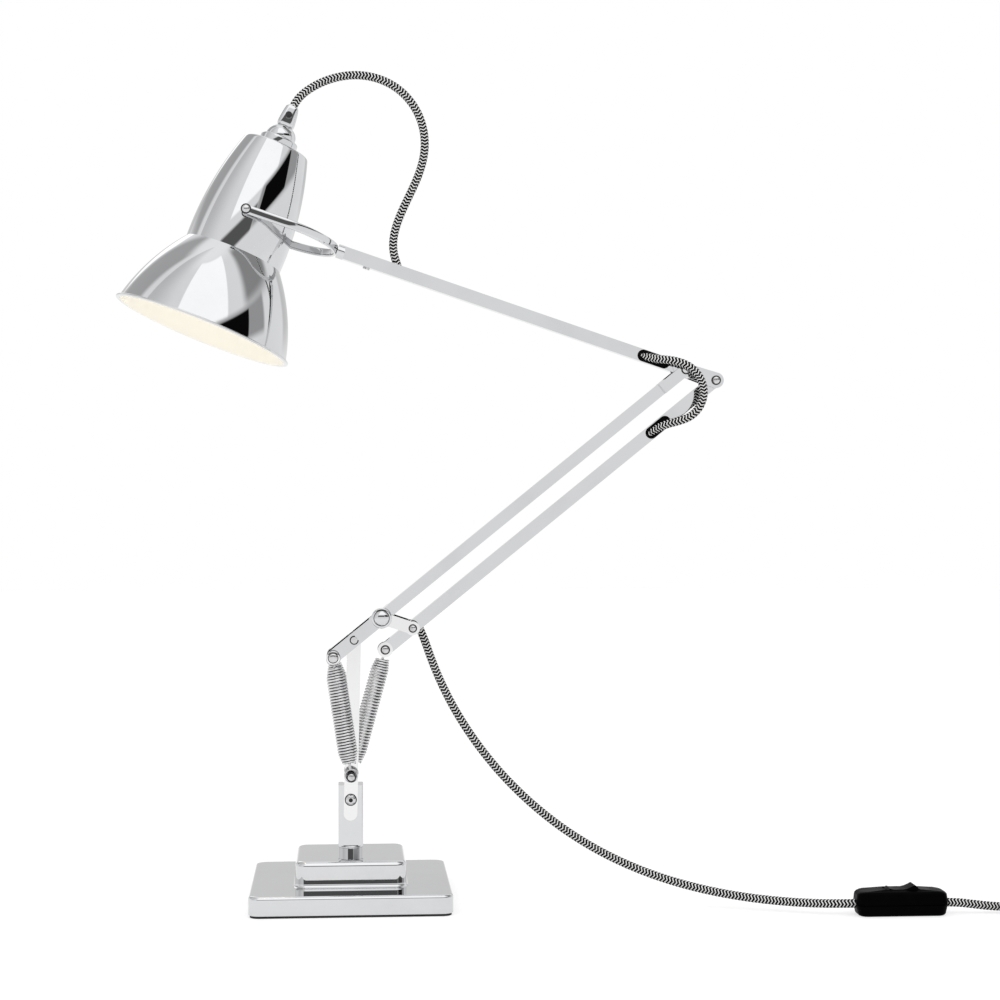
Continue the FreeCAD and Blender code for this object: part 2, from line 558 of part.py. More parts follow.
def build_lower_arm():
    """Two cheeks outside the uprights, a shoulder block, a square tube and a clevis at the elbow."""
    reach = S.tail_reach + S.cheek_tip
    holes = [(0.0, SPRING_PIN_HOLE), (S.tail_reach, PIN_HOLE), (S.tail_reach + S.knob_reach, PIN_HOLE)]
    outline = stadium(0.0, reach, S.cheek_width / 2)
    build = lambda label: strip(label, outline, S.cheek_thick, holes)
    cheeks = mirrored_pair("lower_arm_cheek", build, CHEEK_IN, S.cheek_thick, TAIL, S.lower_angle)
    keep(gather("lower_arm_cheeks", cheeks), "lower_arm_cheeks")

    shoulder_frame = arm_frame(SHOULDER, S.lower_angle)
    half = S.lower_tube / 2
    spigot = half - S.tube_wall - S.spigot_gap
    block = strip("shoulder_block", rectangle(S.block_start, S.block_end, -half, half), 2 * CHEEK_IN,
                  [(S.knob_reach, PIN_HOLE)], symmetric=True)
    sketch = new_sketch(block, "block_spigot_outline")
    spigot_end = S.block_end + S.spigot_length
    draw_outline(sketch, "block_spigot", rectangle(S.block_end, spigot_end, -spigot, spigot))
    pad(block, sketch, 2 * spigot, "block_spigot", symmetric=True)
    keep(block, "shoulder_block", shoulder_frame)

    clevis_foot = S.lower_length - S.clevis_reach
    outline = rectangle(S.block_end, clevis_foot, -half, half)
    tube = strip("lower_arm_tube", outline, S.lower_tube, [], symmetric=True)
    bore = half - S.tube_wall
    pocket(tube, rectangle(S.block_end, clevis_foot, -bore, bore), "lower_arm_bore", 2 * bore, symmetric=True)
    keep(tube, "lower_arm_tube", shoulder_frame)

    outline = [
        (S.clevis_reach, -half), (S.clevis_reach, half), (0.0, half, -half, 0.0), (0.0, -half),
    ]
    clevis = strip("lower_arm_clevis", outline, 2 * CLEVIS_OUT, [(0.0, PIN_HOLE)], symmetric=True)
    throat = rectangle(-half - 1, S.clevis_throat, -half - 1, half + 1)
    pocket(clevis, throat, "clevis_throat", 2 * CLEVIS_IN, symmetric=True)
    sketch = new_sketch(clevis, "clevis_spigot_outline")
    spigot_end = S.clevis_reach + S.spigot_length
    draw_outline(sketch, "clevis_spigot", rectangle(S.clevis_reach, spigot_end, -spigot, spigot))
    pad(clevis, sketch, 2 * spigot, "clevis_spigot", symmetric=True)
    keep(clevis, "lower_arm_clevis", arm_frame(ELBOW, S.lower_angle + 180))

    groove_in = CHEEK_OUT + S.pin_fit
    groove_out = groove_in + S.clip_thick + S.pin_fit
    shaft_half = groove_out + S.clip_thick
    groove = PIN - S.clip_thick
    shaft = turned("shoulder_shaft", [
        (0.0, 0.0), (PIN, 0.0), (PIN, shaft_half - groove_out), (groove, shaft_half - groove_out),
        (groove, shaft_half - groove_in), (PIN, shaft_half - groove_in), (PIN, shaft_half + groove_in),
        (groove, shaft_half + groove_in), (groove, shaft_half + groove_out), (PIN, shaft_half + groove_out),
        (PIN, 2 * shaft_half), (0.0, 2 * shaft_half),
    ])
    keep(shaft, "shoulder_shaft", cross_frame(SHOULDER, -shaft_half))
    clips = [spring_clip(f"shoulder_clip_{side}", groove + S.pin_fit) for side in ("front", "back")]
    clips[0].Placement = arm_frame(SHOULDER, S.lower_angle, -groove_in)
    clips[1].Placement = arm_frame(SHOULDER, S.lower_angle, groove_in + S.clip_thick)
    keep(gather("shoulder_clips", clips), "shoulder_clips")

    pin = turned("tail_pin", shaft_outline(
        SPRING_PIN, 2 * PIN_REACH, S.tail_head_dia / 2, S.head_thick, S.tail_head_dia / 2, S.head_thick))
    keep(pin, "tail_pin", cross_frame(TAIL, -PIN_REACH))

    knob_face = LINK_OUT + S.side_gap
    radius, thick, face = S.knob_dia / 2, S.knob_thick, S.knob_face_dia / 2
    stud_end = thick + 2 * knob_face + S.nut_high
    knob = turned("shoulder_knob", [
        (0.0, 0.0), (face, 0.6, (face + radius) / 2 + 0.6, 1.7), (radius, thick / 2), (radius, thick - 1.2),
        (radius - 1.2, thick), (PIN, thick), (PIN, stud_end), (0.0, stud_end),
    ])
    keep(knob, "shoulder_knob", cross_frame(KNOB, -knob_face - thick))
    nut = hexagon_nut("knob_nut", S.nut_width, S.nut_high, PIN_HOLE)
    keep(nut, "knob_nut", cross_frame(KNOB, knob_face))

    length = 2 * (CLEVIS_OUT + S.side_gap / 2 + S.head_thick)
    pin = turned("elbow_pin", shaft_outline(
        PIN, length, S.head_dia / 2, S.head_thick, S.head_dia / 2, S.head_thick))
    keep(pin, "elbow_pin", cross_frame(ELBOW, -length / 2))


def spring_clip(label, bore):
    """Make an open spring clip that snaps into a groove."""
    outer = S.clip_dia / 2
    gape = math.radians(38)
    points = [
        (outer * math.cos(gape), outer * math.sin(gape), -outer, 0.0),
        (outer * math.cos(gape), -outer * math.sin(gape)),
        (bore * math.cos(gape), -bore * math.sin(gape), -bore, 0.0),
        (bore * math.cos(gape), bore * math.sin(gape)),
    ]
    return strip(label, points, S.clip_thick, [])


# Link, parallel bar and upper arm


def build_link():
    """Two short plates from the knob to the parallel bar, held apart by sleeves on their pin."""
    outline = stadium(0.0, S.crank, S.link_width / 2)
    build = lambda label: strip(label, outline, S.link_thick, [(0.0, PIN_HOLE), (S.crank, PIN_HOLE)])
    plates = mirrored_pair("link_plate", build, LINK_IN, S.link_thick, KNOB, UPPER_WAY + 180)
    keep(gather("link_plates", plates), "link_plates")
    length = 2 * (LINK_OUT + S.head_thick)
    pin = turned("link_pin_shaft", shaft_outline(
        PIN, length, S.link_head_dia / 2, S.head_thick, S.link_head_dia / 2, S.head_thick))
    pin.Placement = cross_frame(LINK_END, -length / 2)
    sleeve_from = BAR_FACE + S.side_gap / 2
    sleeve_long = LINK_IN - S.side_gap / 2 - sleeve_from
    sleeves = []
    for side, y in (("front", -sleeve_from - sleeve_long), ("back", sleeve_from)):
        sleeve = turned(f"link_sleeve_{side}", [
            (PIN_HOLE, 0.0), (S.spacer_dia / 2, 0.0), (S.spacer_dia / 2, sleeve_long),
            (PIN_HOLE, sleeve_long)])
        sleeve.Placement = cross_frame(LINK_END, y)
        sleeves.append(sleeve)
    keep(gather("link_pin", [pin] + sleeves), "link_pin")


def grommet(label, near, far, face):
    """Make the lining of a cord slot, open through its middle."""
    radius = S.slot_width / 2 - S.pin_fit
    body = new_body(label)
    sketch = new_sketch(body, f"{label}_outline")
    ends = (near + S.slot_width / 2, far - S.slot_width / 2)
    draw_outline(sketch, f"{label}_outer", stadium(*ends, radius))
    draw_outline(sketch, f"{label}_inner", stadium(*ends, radius - S.grommet_wall))
    pad(body, sketch, S.grommet_deep, label)
    lift = face + S.grommet_proud - S.grommet_deep
    return body, Placement(Vector(0, 0, lift), Rotation())


def build_parallel_bar():
    """Tube beside the lower arm, forked at its tail for the middle spring, with the cord inside."""
    frame = arm_frame(BAR_TAIL, S.lower_angle)
    length, radius = S.lower_length, S.arm_tube / 2
    holes = [(0.0, SPRING_PIN_HOLE), (S.knob_reach, PIN_HOLE), (length, PIN_HOLE)]
    bar = strip("parallel_bar", stadium(0.0, length, radius), 2 * BAR_FACE, holes, symmetric=True)
    bore, bore_deep = radius - S.tube_wall, BAR_FACE - S.tube_wall
    room = rectangle(S.bar_solid_end, length - S.bar_solid_end, -bore, bore)
    pocket(bar, room, "bar_bore", 2 * bore_deep, symmetric=True)
    tail = rectangle(-radius - 1, S.tail_slot_deep, -radius - 1, radius + 1)
    pocket(bar, tail, "bar_tail_slot", S.tail_slot_width, symmetric=True)
    near, far = length - S.bar_slot_far, length - S.bar_slot_near
    slot = stadium(near + S.slot_width / 2, far - S.slot_width / 2, S.slot_width / 2)
    pocket(bar, slot, "bar_cord_slot", S.arm_tube, forwards=True)
    middle = S.knob_reach + S.bar_exit
    half = (S.bar_exit_length - S.exit_width) / 2
    exit_slot = stadium(middle - half, middle + half, S.exit_width / 2)
    pocket(bar, exit_slot, "bar_exit", S.arm_tube, role="XZ_Plane", forwards=True)
    keep(bar, "parallel_bar", frame)
    lining, lift = grommet("bar_grommet", near, far, BAR_FACE)
    keep(lining, "bar_grommet", frame.multiply(lift))
    length = 2 * (BAR_FACE + S.side_gap / 2 + S.head_thick)
    pin = turned("bar_tail_pin", shaft_outline(
        SPRING_PIN, length, S.head_dia / 2, S.head_thick, S.head_dia / 2, S.head_thick))
    keep(pin, "bar_tail_pin", cross_frame(BAR_TAIL, -length / 2))


def build_upper_arm():
    """Tube with two eye plates at the elbow, cord openings and the screw that retains the fork."""
    frame = arm_frame(ARM_END, UPPER_WAY)
    half = S.arm_tube / 2
    bore = half - S.tube_wall
    arm = strip("upper_arm_tube", rectangle(S.arm_start, S.arm_end, -half, half), S.arm_tube,
                [(S.crank, PIN_HOLE)], symmetric=True)
    pocket(arm, rectangle(S.arm_start, S.arm_end, -bore, bore), "arm_bore", 2 * bore, symmetric=True)
    near, far = S.arm_slot_near, S.arm_slot_far
    slot = stadium(near + S.slot_width / 2, far - S.slot_width / 2, S.slot_width / 2)
    pocket(arm, slot, "arm_cord_slot", S.arm_tube, forwards=True)
    reach = (S.arm_exit_length - S.exit_width) / 2
    exit_slot = stadium(S.arm_exit - reach, S.arm_exit + reach, S.exit_width / 2)
    pocket(arm, exit_slot, "arm_exit", S.arm_tube, role="XZ_Plane", forwards=True)
    screw_hole = (GROOVE_AT, 0.0, S.retaining_dia / 2 + S.pin_fit)
    pocket(arm, None, "retaining_hole", S.arm_tube, role="XZ_Plane", hole=screw_hole)
    keep(arm, "upper_arm_tube", frame)

    eye = S.elbow_eye_dia / 2
    outline = stadium(0.0, S.elbow_plate_reach, eye, half)
    build = lambda label: strip(label, outline, S.elbow_plate, [(0.0, PIN_HOLE), (S.crank, PIN_HOLE)])
    plates = mirrored_pair("elbow_plate", build, PLATE_IN, S.elbow_plate, ARM_END, UPPER_WAY)
    keep(gather("elbow_plates", plates), "elbow_plates")
    length = 2 * (PLATE_OUT + S.side_gap / 2 + S.head_thick)
    pin = turned("arm_end_pin", shaft_outline(
        PIN, length, S.head_dia / 2, S.head_thick, S.head_dia / 2, S.head_thick))
    keep(pin, "arm_end_pin", cross_frame(ARM_END, -length / 2))
    lining, lift = grommet("arm_grommet", near, far, PLATE_IN)
    keep(lining, "arm_grommet", frame.multiply(lift))

    tip = stem_radius() - S.groove_deep + 0.4
    shank = half + S.retaining_head_high - tip
    screw = turned("fork_screw", shaft_outline(
        S.retaining_dia / 2, shank, S.retaining_head_dia / 2, S.retaining_head_high))
    seat = Placement(Vector(GROOVE_AT, half + S.retaining_head_high, 0), Rotation(Vector(1, 0, 0), 90))
    keep(screw, "fork_screw", frame.multiply(seat))


# Fork


def stem_radius():
    """Radius of the fork's stem inside the arm."""
    return S.arm_tube / 2 - S.tube_wall - S.stem_fit


def fork_frame():
    """Local x runs along the arm from its end, local y to the front, local z upwards, rolled."""
    arm = arm_frame(ARM_END, UPPER_WAY)
    return arm.multiply(Placement(Vector(), Rotation(Vector(1, 0, 0), 90 + S.fork_roll)))


def build_fork():
    """Turned stem that rolls inside the arm, riveted to a wishbone strip that spans the shade."""
    frame = fork_frame()
    radius, start = stem_radius(), S.arm_end - S.stem_inside
    groove = radius - S.groove_deep
    low, high = (GROOVE_AT + side * S.groove_width / 2 - start for side in (-1, 1))
    shoulder, apex = S.arm_end + S.seat_gap - start, FORK_APEX - start
    collar, rivet = S.fork_collar_dia / 2, S.rivet_dia / 2
    head_face = apex + S.fork_strip + S.seat_gap
    stem = turned("fork_stem", [
        (0.0, 0.0), (radius, 0.0), (radius, low), (groove, low), (groove, high), (radius, high),
        (radius, shoulder), (collar, shoulder), (collar, apex), (rivet, apex), (rivet, head_face),
        (S.rivet_head_dia / 2, head_face), (S.rivet_head_dia / 2, head_face + S.rivet_head_high),
        (0.0, head_face + S.rivet_head_high),
    ])
    lie = Placement(Vector(start, 0, 0), Rotation(Vector(0, 1, 0), 90))
    keep(stem, "fork_stem", frame.multiply(lie))

    outer = S.fork_spread / 2 + S.fork_strip / 2
    inner = outer - S.fork_strip
    bend = FORK_APEX + outer
    tip = SHADE_PIVOT + S.fork_tip
    outline = [
        (tip, outer), (bend, outer, bend - outer, 0.0), (bend, -outer), (tip, -outer),
        (tip, -inner), (bend, -inner, bend - inner, 0.0), (bend, inner), (tip, inner),
    ]
    fork = strip("shade_fork", outline, S.fork_height, [], symmetric=True)
    tip_edge = lambda edge: runs_along(edge, 1) and edge.BoundBox.XMin > tip - 0.01
    round_edges(fork, "fork_tip", min(S.fork_height / 2, S.fork_tip) - 0.1, tip_edge)
    hole = (SHADE_PIVOT, 0.0, S.pivot_screw_dia / 2 + S.pin_fit)
    pocket(fork, None, "fork_pivot_hole", role="XZ_Plane", symmetric=True, hole=hole)
    pocket(fork, None, "fork_rivet_hole", role="YZ_Plane", forwards=True, hole=(0.0, 0.0, rivet + S.pin_fit))
    keep(fork, "shade_fork", frame)


# Shade, lampholder and bulb


def shade_frame():
    """Local z runs up the shade's axis from the middle of its rim."""
    turn = Rotation(Vector(0, 1, 0), S.upper_angle - S.shade_lean)
    pivot = fork_frame().multiply(Placement(Vector(SHADE_PIVOT, 0, 0), turn))
    return pivot.multiply(Placement(Vector(0, 0, -S.pivot_above_rim), Rotation()))


def body_radius(height):
    """Outer radius of the shade's upper body at a height above the rim."""
    centre, radius = circle_through(
        (S.waist_radius, S.waist_height), (S.body_bulge_radius, S.body_bulge_height),
        (S.crown_radius, S.crown_height))
    return centre[0] + math.sqrt(radius ** 2 - (height - centre[1]) ** 2)


def build_shade():
    """Spun shade with a bell mouth, a waist and a tapering body, hung on two pivot screws."""
    frame = shade_frame()
    wall, lip, bead = S.shade_wall, S.rim_radius, S.rim_bead
    collar = S.nipple_dia / 2 + S.nipple_fit
    shade = turned("shade_shell", [
        (S.mouth_radius - wall, 0.0), (lip - bead / 2, 0.0, lip, bead / 2), (lip - bead / 2, bead),
        (S.mouth_radius, bead, S.bell_bulge_radius, S.bell_bulge_height),
        (S.waist_radius, S.waist_height, S.body_bulge_radius, S.body_bulge_height),
        (S.crown_radius, S.crown_height), (collar, S.crown_height), (collar, S.crown_height - wall),
        (S.crown_radius - wall, S.crown_height - wall, S.body_bulge_radius - wall, S.body_bulge_height),
        (S.waist_radius - wall, S.waist_height, S.bell_bulge_radius - wall, S.bell_bulge_height),
    ])
    hole = (0.0, S.pivot_above_rim, S.pivot_screw_dia / 2 + S.pin_fit)
    pocket(shade, None, "shade_pivot_hole", role="XZ_Plane", symmetric=True, hole=hole)
    keep(shade, "shade_shell", frame)

    outside = S.fork_spread / 2 + S.fork_strip / 2 + S.side_gap / 2
    skin = body_radius(S.pivot_above_rim)
    seat = skin - wall - S.side_gap
    inside = S.fork_spread / 2 - S.fork_strip / 2 - S.side_gap
    filling = inside - skin - S.side_gap
    shank, head = S.pivot_screw_dia / 2, S.pivot_head_dia / 2
    thick, nut = S.pivot_head_high, S.pivot_nut_long
    length = outside + thick - seat + nut
    pieces = []
    for side, turn in (("front", 90), ("back", -90)):
        screw = turned(f"pivot_screw_{side}", shaft_outline(
            shank, length, head, thick, head - 1, nut - S.side_gap))
        spacer = turned(f"pivot_spacer_{side}", [
            (shank + S.pin_fit, 0.0), (head - 0.4, 0.0), (head - 0.4, filling), (shank + S.pin_fit, filling)])
        sign = 1 if side == "front" else -1
        turn_in = Rotation(Vector(1, 0, 0), turn)
        head_at = Vector(0, sign * (outside + thick), S.pivot_above_rim)
        screw.Placement = frame.multiply(Placement(head_at, turn_in))
        spacer.Placement = frame.multiply(Placement(Vector(0, sign * inside, S.pivot_above_rim), turn_in))
        pieces += [screw, spacer]
    keep(gather("shade_pivot_screws", pieces), "shade_pivot_screws")

    outer, bore, nipple = S.holder_dia / 2, S.holder_bore_dia / 2, S.nipple_dia / 2
    roof = S.crown_height - wall - S.seat_gap
    nipple_top = S.crown_height + S.nipple_high
    holder = turned("lampholder", [
        (0.0, S.holder_floor), (bore, S.holder_floor), (bore, S.holder_mouth), (outer, S.holder_mouth),
        (outer, roof - 4), (outer - 4, roof), (nipple, roof), (nipple, nipple_top), (0.0, nipple_top),
    ])
    keep(holder, "lampholder", frame)

    foot = S.crown_height + S.seat_gap / 2
    ring_top = foot + S.cap_ring_high
    dome_top = ring_top + S.cap_dome_high
    ring, dome, crown = S.cap_ring_dia / 2, S.cap_dome_dia / 2, S.cap_crown_dia / 2
    recess = nipple + S.nipple_fit
    bulge = ((dome + crown) / 2 + 1.8, (ring_top + dome_top) / 2 + 1.8)
    cap = turned("holder_cap", [
        (0.0, nipple_top + S.seat_gap), (recess, nipple_top + S.seat_gap), (recess, foot), (ring, foot),
        (ring, ring_top - 1.5), (ring - 1.5, ring_top), (dome, ring_top, *bulge), (crown, dome_top),
        (0.0, dome_top),
    ])
    keep(cap, "holder_cap", frame)

    wide, narrow, high = S.clamp_foot / 2, S.clamp_head / 2, S.clamp_high
    clamp = new_body("cord_clamp")
    sketch = new_sketch(clamp, "cord_clamp_outline", "XZ_Plane")
    draw_outline(sketch, "cord_clamp", [(-wide, 0.0), (wide, 0.0), (narrow, high), (-narrow, high)])
    pad(clamp, sketch, S.clamp_deep, "cord_clamp", symmetric=True)
    round_edges(clamp, "clamp_edge", 1.8, lambda edge: not runs_along(edge, 0) and not runs_along(edge, 1))
    clamp_place = frame.multiply(Placement(Vector(0, 0, dome_top), Rotation()))
    clamp.Placement = clamp_place
    bore_seat = Placement(Vector(0, 0, dome_top + high - S.clamp_bore_deep), Rotation())
    bored = cut_bore("cord_clamp", clamp, CORD + S.cord_fit, high, frame.multiply(bore_seat))
    keep(bored, "cord_clamp")
    face = S.clamp_deep / 2
    screw = turned("clamp_screw", shaft_outline(S.clamp_screw_dia / 2, S.clamp_screw_high))
    seat = Placement(Vector(0, face + S.clamp_screw_high, dome_top + high / 2), Rotation(Vector(1, 0, 0), 90))
    keep(screw, "clamp_screw", frame.multiply(seat))

    neck, ball, middle = S.bulb_neck_radius, S.bulb_radius, S.bulb_centre
    globe = turned("bulb_globe", [
        (0.0, middle - ball, ball * math.sqrt(0.5), middle - ball * math.sqrt(0.5)),
        (ball, middle, (ball + neck) / 2 + 4, (middle + S.bulb_neck) / 2), (neck - 1, S.bulb_neck),
        (0.0, S.bulb_neck),
    ])
    keep(globe, "bulb_globe", frame)
    radius = S.bulb_cap_dia / 2
    top = S.bulb_neck + S.bulb_cap_long
    cap = turned("bulb_cap", [
        (0.0, S.bulb_neck), (radius - 1, S.bulb_neck), (radius, S.bulb_neck + 1), (radius, top - 5),
        (radius / 2, top),
        (0.0, top)])
    keep(cap, "bulb_cap", frame)


# Springs and their hooks


def spring_wire(length, body_radius_mm):
    """Return the centre line of a spring with coned, close-wound ends, in half turns."""
    cone = int(2 * S.cone_turns)
    free = int(2 * S.open_turns)
    end_radius = (S.spring_end_dia - S.wire_dia) / 2
    open_rise = (length - cone * S.cone_pitch) / free
    radii = [end_radius + (body_radius_mm - end_radius) * i / cone for i in range(cone)]
    radii += [body_radius_mm] * (free + 1) + radii[::-1]
    rises = [S.cone_pitch / 2] * cone + [open_rise] * free + [S.cone_pitch / 2] * cone
    edges, points, height, side = [], [], 0.0, 1
    for i, rise in enumerate(rises):
        start = Vector(side * radii[i], 0, height)
        end = Vector(-side * radii[i + 1], 0, height + rise)
        middle = (start + end) / 2 + Vector(0, side * (radii[i] + radii[i + 1]) / 2, 0)
        edges.append(Part.Arc(start, middle, end).toShape())
        points += edges[-1].discretize(13)[:-1]
        height, side = height + rise, -side
    lead = S.wire_dia
    first, last = Vector(radii[0], 0, 0), Vector(side * radii[-1], 0, height)
    edges.insert(0, Part.LineSegment(first - Vector(0, lead, 0), first).toShape())
    edges.append(Part.LineSegment(last, last + Vector(0, side * lead, 0)).toShape())
    return Part.Wire(edges), points


def least_gap(points, tube, skip):
    """Return the least gap between a tube and itself, measured on points of its centre line."""
    least = math.inf
    for i, point in enumerate(points):
        for other in points[i + skip:]:
            least = min(least, point.distanceToPoint(other))
    return least - tube


def sweep_round(path, radius):
    """Sweep a round section along a path and check the volume against its length."""
    edge = path.OrderedEdges[0]
    start = edge.valueAt(edge.FirstParameter)
    way = edge.tangentAt(edge.FirstParameter)
    section = Part.Wire([Part.makeCircle(radius, start, way)])
    solid = path.makePipeShell([section], True, False)
    expected = math.pi * radius ** 2 * path.Length
    if not solid.isValid() or abs(solid.Volume / expected - 1) > 0.01:
        raise ValueError("a sweep failed")
    return solid


def axis_frame(start, end, y):
    """Local z runs from one pivot of the arm plane to another at a given depth."""
    way = Vector(end[0] - start[0], 0, end[1] - start[1])
    return Placement(Vector(start[0], y, start[1]), Rotation(Vector(0, 0, 1), way)), way.Length


def hook(label, room, clearance):
    """Make an eye, its shank and the plug that holds it in the spring's coned end."""
    wire = S.hook_wire_dia / 2
    eye = doc.addObject("Part::Torus", f"{label}_eye")
    inner = S.eye_inner_dia / 2 + clearance
    ring, seat = inner + wire, inner - SPRING_PIN - S.side_gap
    bind(eye, "Radius1", f"{label}_eye_radius", ring)
    bind(eye, "Radius2", f"{label}_eye_wire", wire)
    eye.Placement = Placement(Vector(0, 0, seat), Rotation(Vector(1, 0, 0), 90))
    shank = doc.addObject("Part::Cylinder", f"{label}_shank")
    bind(shank, "Radius", f"{label}_shank_radius", wire)
    bind(shank, "Height", f"{label}_shank_length", room + S.hook_plug_long / 2 - ring - seat)
    shank.Placement = Placement(Vector(0, 0, ring + seat), Rotation())
    return eye, shank


def hook_plug(label, room, bore=0.0):
    """Make the plug inside the coned end of a spring."""
    plug = turned(label, [
        (bore, room + 0.5), (S.hook_plug_dia / 2, room + 0.5), (S.hook_plug_dia / 2, room + S.hook_plug_long),
        (bore, room + S.hook_plug_long)])
    return plug


def whole_hook(label, room, clearance=0.0):
    """Fuse the eye, shank and plug of one spring hook."""
    fused = doc.addObject("Part::MultiFuse", f"{label}_fused")
    fused.Shapes = [*hook(label, room, clearance), hook_plug(f"{label}_plug", room)]
    return fused


def build_springs():
    """Two outer springs from the anchor pin to the arm's tail and one middle spring to the bar's tail."""
    plans = (
        ("outer_spring_front", TAIL, -OUTER_AXIS, S.outer_spring_dia),
        ("outer_spring_back", TAIL, OUTER_AXIS, S.outer_spring_dia),
        ("middle_spring", BAR_TAIL, 0.0, S.middle_spring_dia),
    )
    feet, tops = [], []
    for label, top, y, diameter in plans:
        frame, distance = axis_frame(ANCHOR, top, y)
        length = distance - S.spring_foot_room - S.spring_top_room
        wire, points = spring_wire(length, (diameter - S.wire_dia) / 2)
        gap = least_gap(points, S.wire_dia, 13)
        print(f"{label}: least gap {gap:.2f} mm over {2 * S.cone_turns + S.open_turns:.0f} turns")
        spring = feature(label, sweep_round(wire, S.wire_dia / 2))
        keep(spring, label, frame.multiply(Placement(Vector(0, 0, S.spring_foot_room), Rotation())))
        foot = whole_hook(f"{label}_foot_hook", S.spring_foot_room)
        foot.Placement = frame
        feet.append(foot)
        down = axis_frame(top, ANCHOR, y)[0]
        if label == "middle_spring":
            bore = S.hook_wire_dia / 2 + S.side_gap
            plug = hook_plug("middle_spring_plug", S.spring_top_room, bore)
            keep(plug, "middle_spring_plug", down)
            fused = doc.addObject("Part::MultiFuse", "middle_top_hook_fused")
            fused.Shapes = list(hook("middle_top_hook", S.spring_top_room, -1.0))
            keep(fused, "middle_spring_top_hook", down)
        else:
            hooked = whole_hook(f"{label}_top_hook", S.spring_top_room, 0.0)
            hooked.Placement = down
            tops.append(hooked)
    keep(gather("spring_foot_hooks", feet), "spring_foot_hooks")
    keep(gather("outer_spring_top_hooks", tops), "outer_spring_top_hooks")


# Free cords


SHADE_CORD_RUN = [
    (-43.9, 8.5, 737.5), (-33.6, 8.0, 745.0), (-21.1, 7.4, 751.0), (-7.0, 6.9, 754.8), (7.7, 6.4, 755.8),
    (22.3, 6.0, 753.7), (35.8, 5.5, 748.3), (47.6, 5.2, 739.9), (57.1, 4.8, 728.9), (63.8, 4.4, 716.1),
    (67.3, 4.0, 702.1), (67.7, 3.6, 687.7), (65.0, 3.2, 673.3), (59.9, 2.8, 659.3), (53.4, 2.4, 645.5),
    (46.7, 2.0, 631.7), (41.0, 1.5, 617.8), (37.8, 1.1, 603.7), (38.4, 0.6, 589.6),
]
ELBOW_CORD_RUN = [
    (294.0, -15.5, 493.2), (303.1, -18.4, 490.8), (311.2, -20.0, 486.5), (317.6, -20.7, 480.2),
    (321.7, -21.0, 472.2), (323.2, -21.0, 463.5), (321.6, -20.8, 454.9), (317.4, -20.2, 447.2),
    (310.6, -18.7, 441.0), (301.4, -16.0, 437.3),
]
HANGING_RUN = [
    (67.6, -0.6, 238.6), (73.6, -2.9, 218.8), (83.4, -6.4, 195.0), (97.3, -10.7, 168.5), (115.7, -15.7, 140.7),
    (138.4, -21.4, 113.1), (165.4, -27.8, 87.0), (196.4, -35.0, 63.3), (231.3, -43.4, 43.2), (269.3, -53.3, 27.6),
    (309.1, -64.8, 16.9), (348.2, -77.6, 10.9), (384.0, -90.6, 8.7), (412.0, -101.8, 8.9),
]
TAIL_RUN = [
    (549.0, -109.4, 7.9), (565.0, -109.4, 5.9), (582.0, -108.6, 4.9),
]


def moored(run, start, end, drawn_start, drawn_end):
    """Shift a run of cord so that it still meets its two ends, sharing the shift along its length."""
    shift_start, shift_end = start - Vector(*drawn_start), end - Vector(*drawn_end)
    steps = len(run) + 1
    moved = [Vector(*point) + shift_start * (1 - i / steps) + shift_end * (i / steps)
             for i, point in enumerate(run, 1)]
    return [start] + moved + [end]


def rounded_path(label, route):
    """Join the route's points by straight runs and tangent arcs, and print the arcs' radii."""
    cursor = route[0]
    edges, radii = [], []
    for before, corner, after in zip(route, route[1:], route[2:]):
        into, out = corner - before, after - corner
        turn = into.getAngle(out)
        reach = 0.45 * min(into.Length, out.Length)
        start = corner - into * (reach / into.Length)
        end = corner + out * (reach / out.Length)
        radius = reach / math.tan(turn / 2)
        radii.append(radius)
        inward = ((start + end) / 2 - corner).normalize()
        middle = corner + inward * (radius / math.cos(turn / 2) - radius)
        edges.append(Part.LineSegment(cursor, start).toShape())
        edges.append(Part.Arc(start, middle, end).toShape())
        cursor = end
    edges.append(Part.LineSegment(cursor, route[-1]).toShape())
    path = Part.Wire(edges)
    print(f"{label}: {path.Length:.0f} mm long, radii " + ", ".join(f"{radius:.0f}" for radius in radii))
    return path


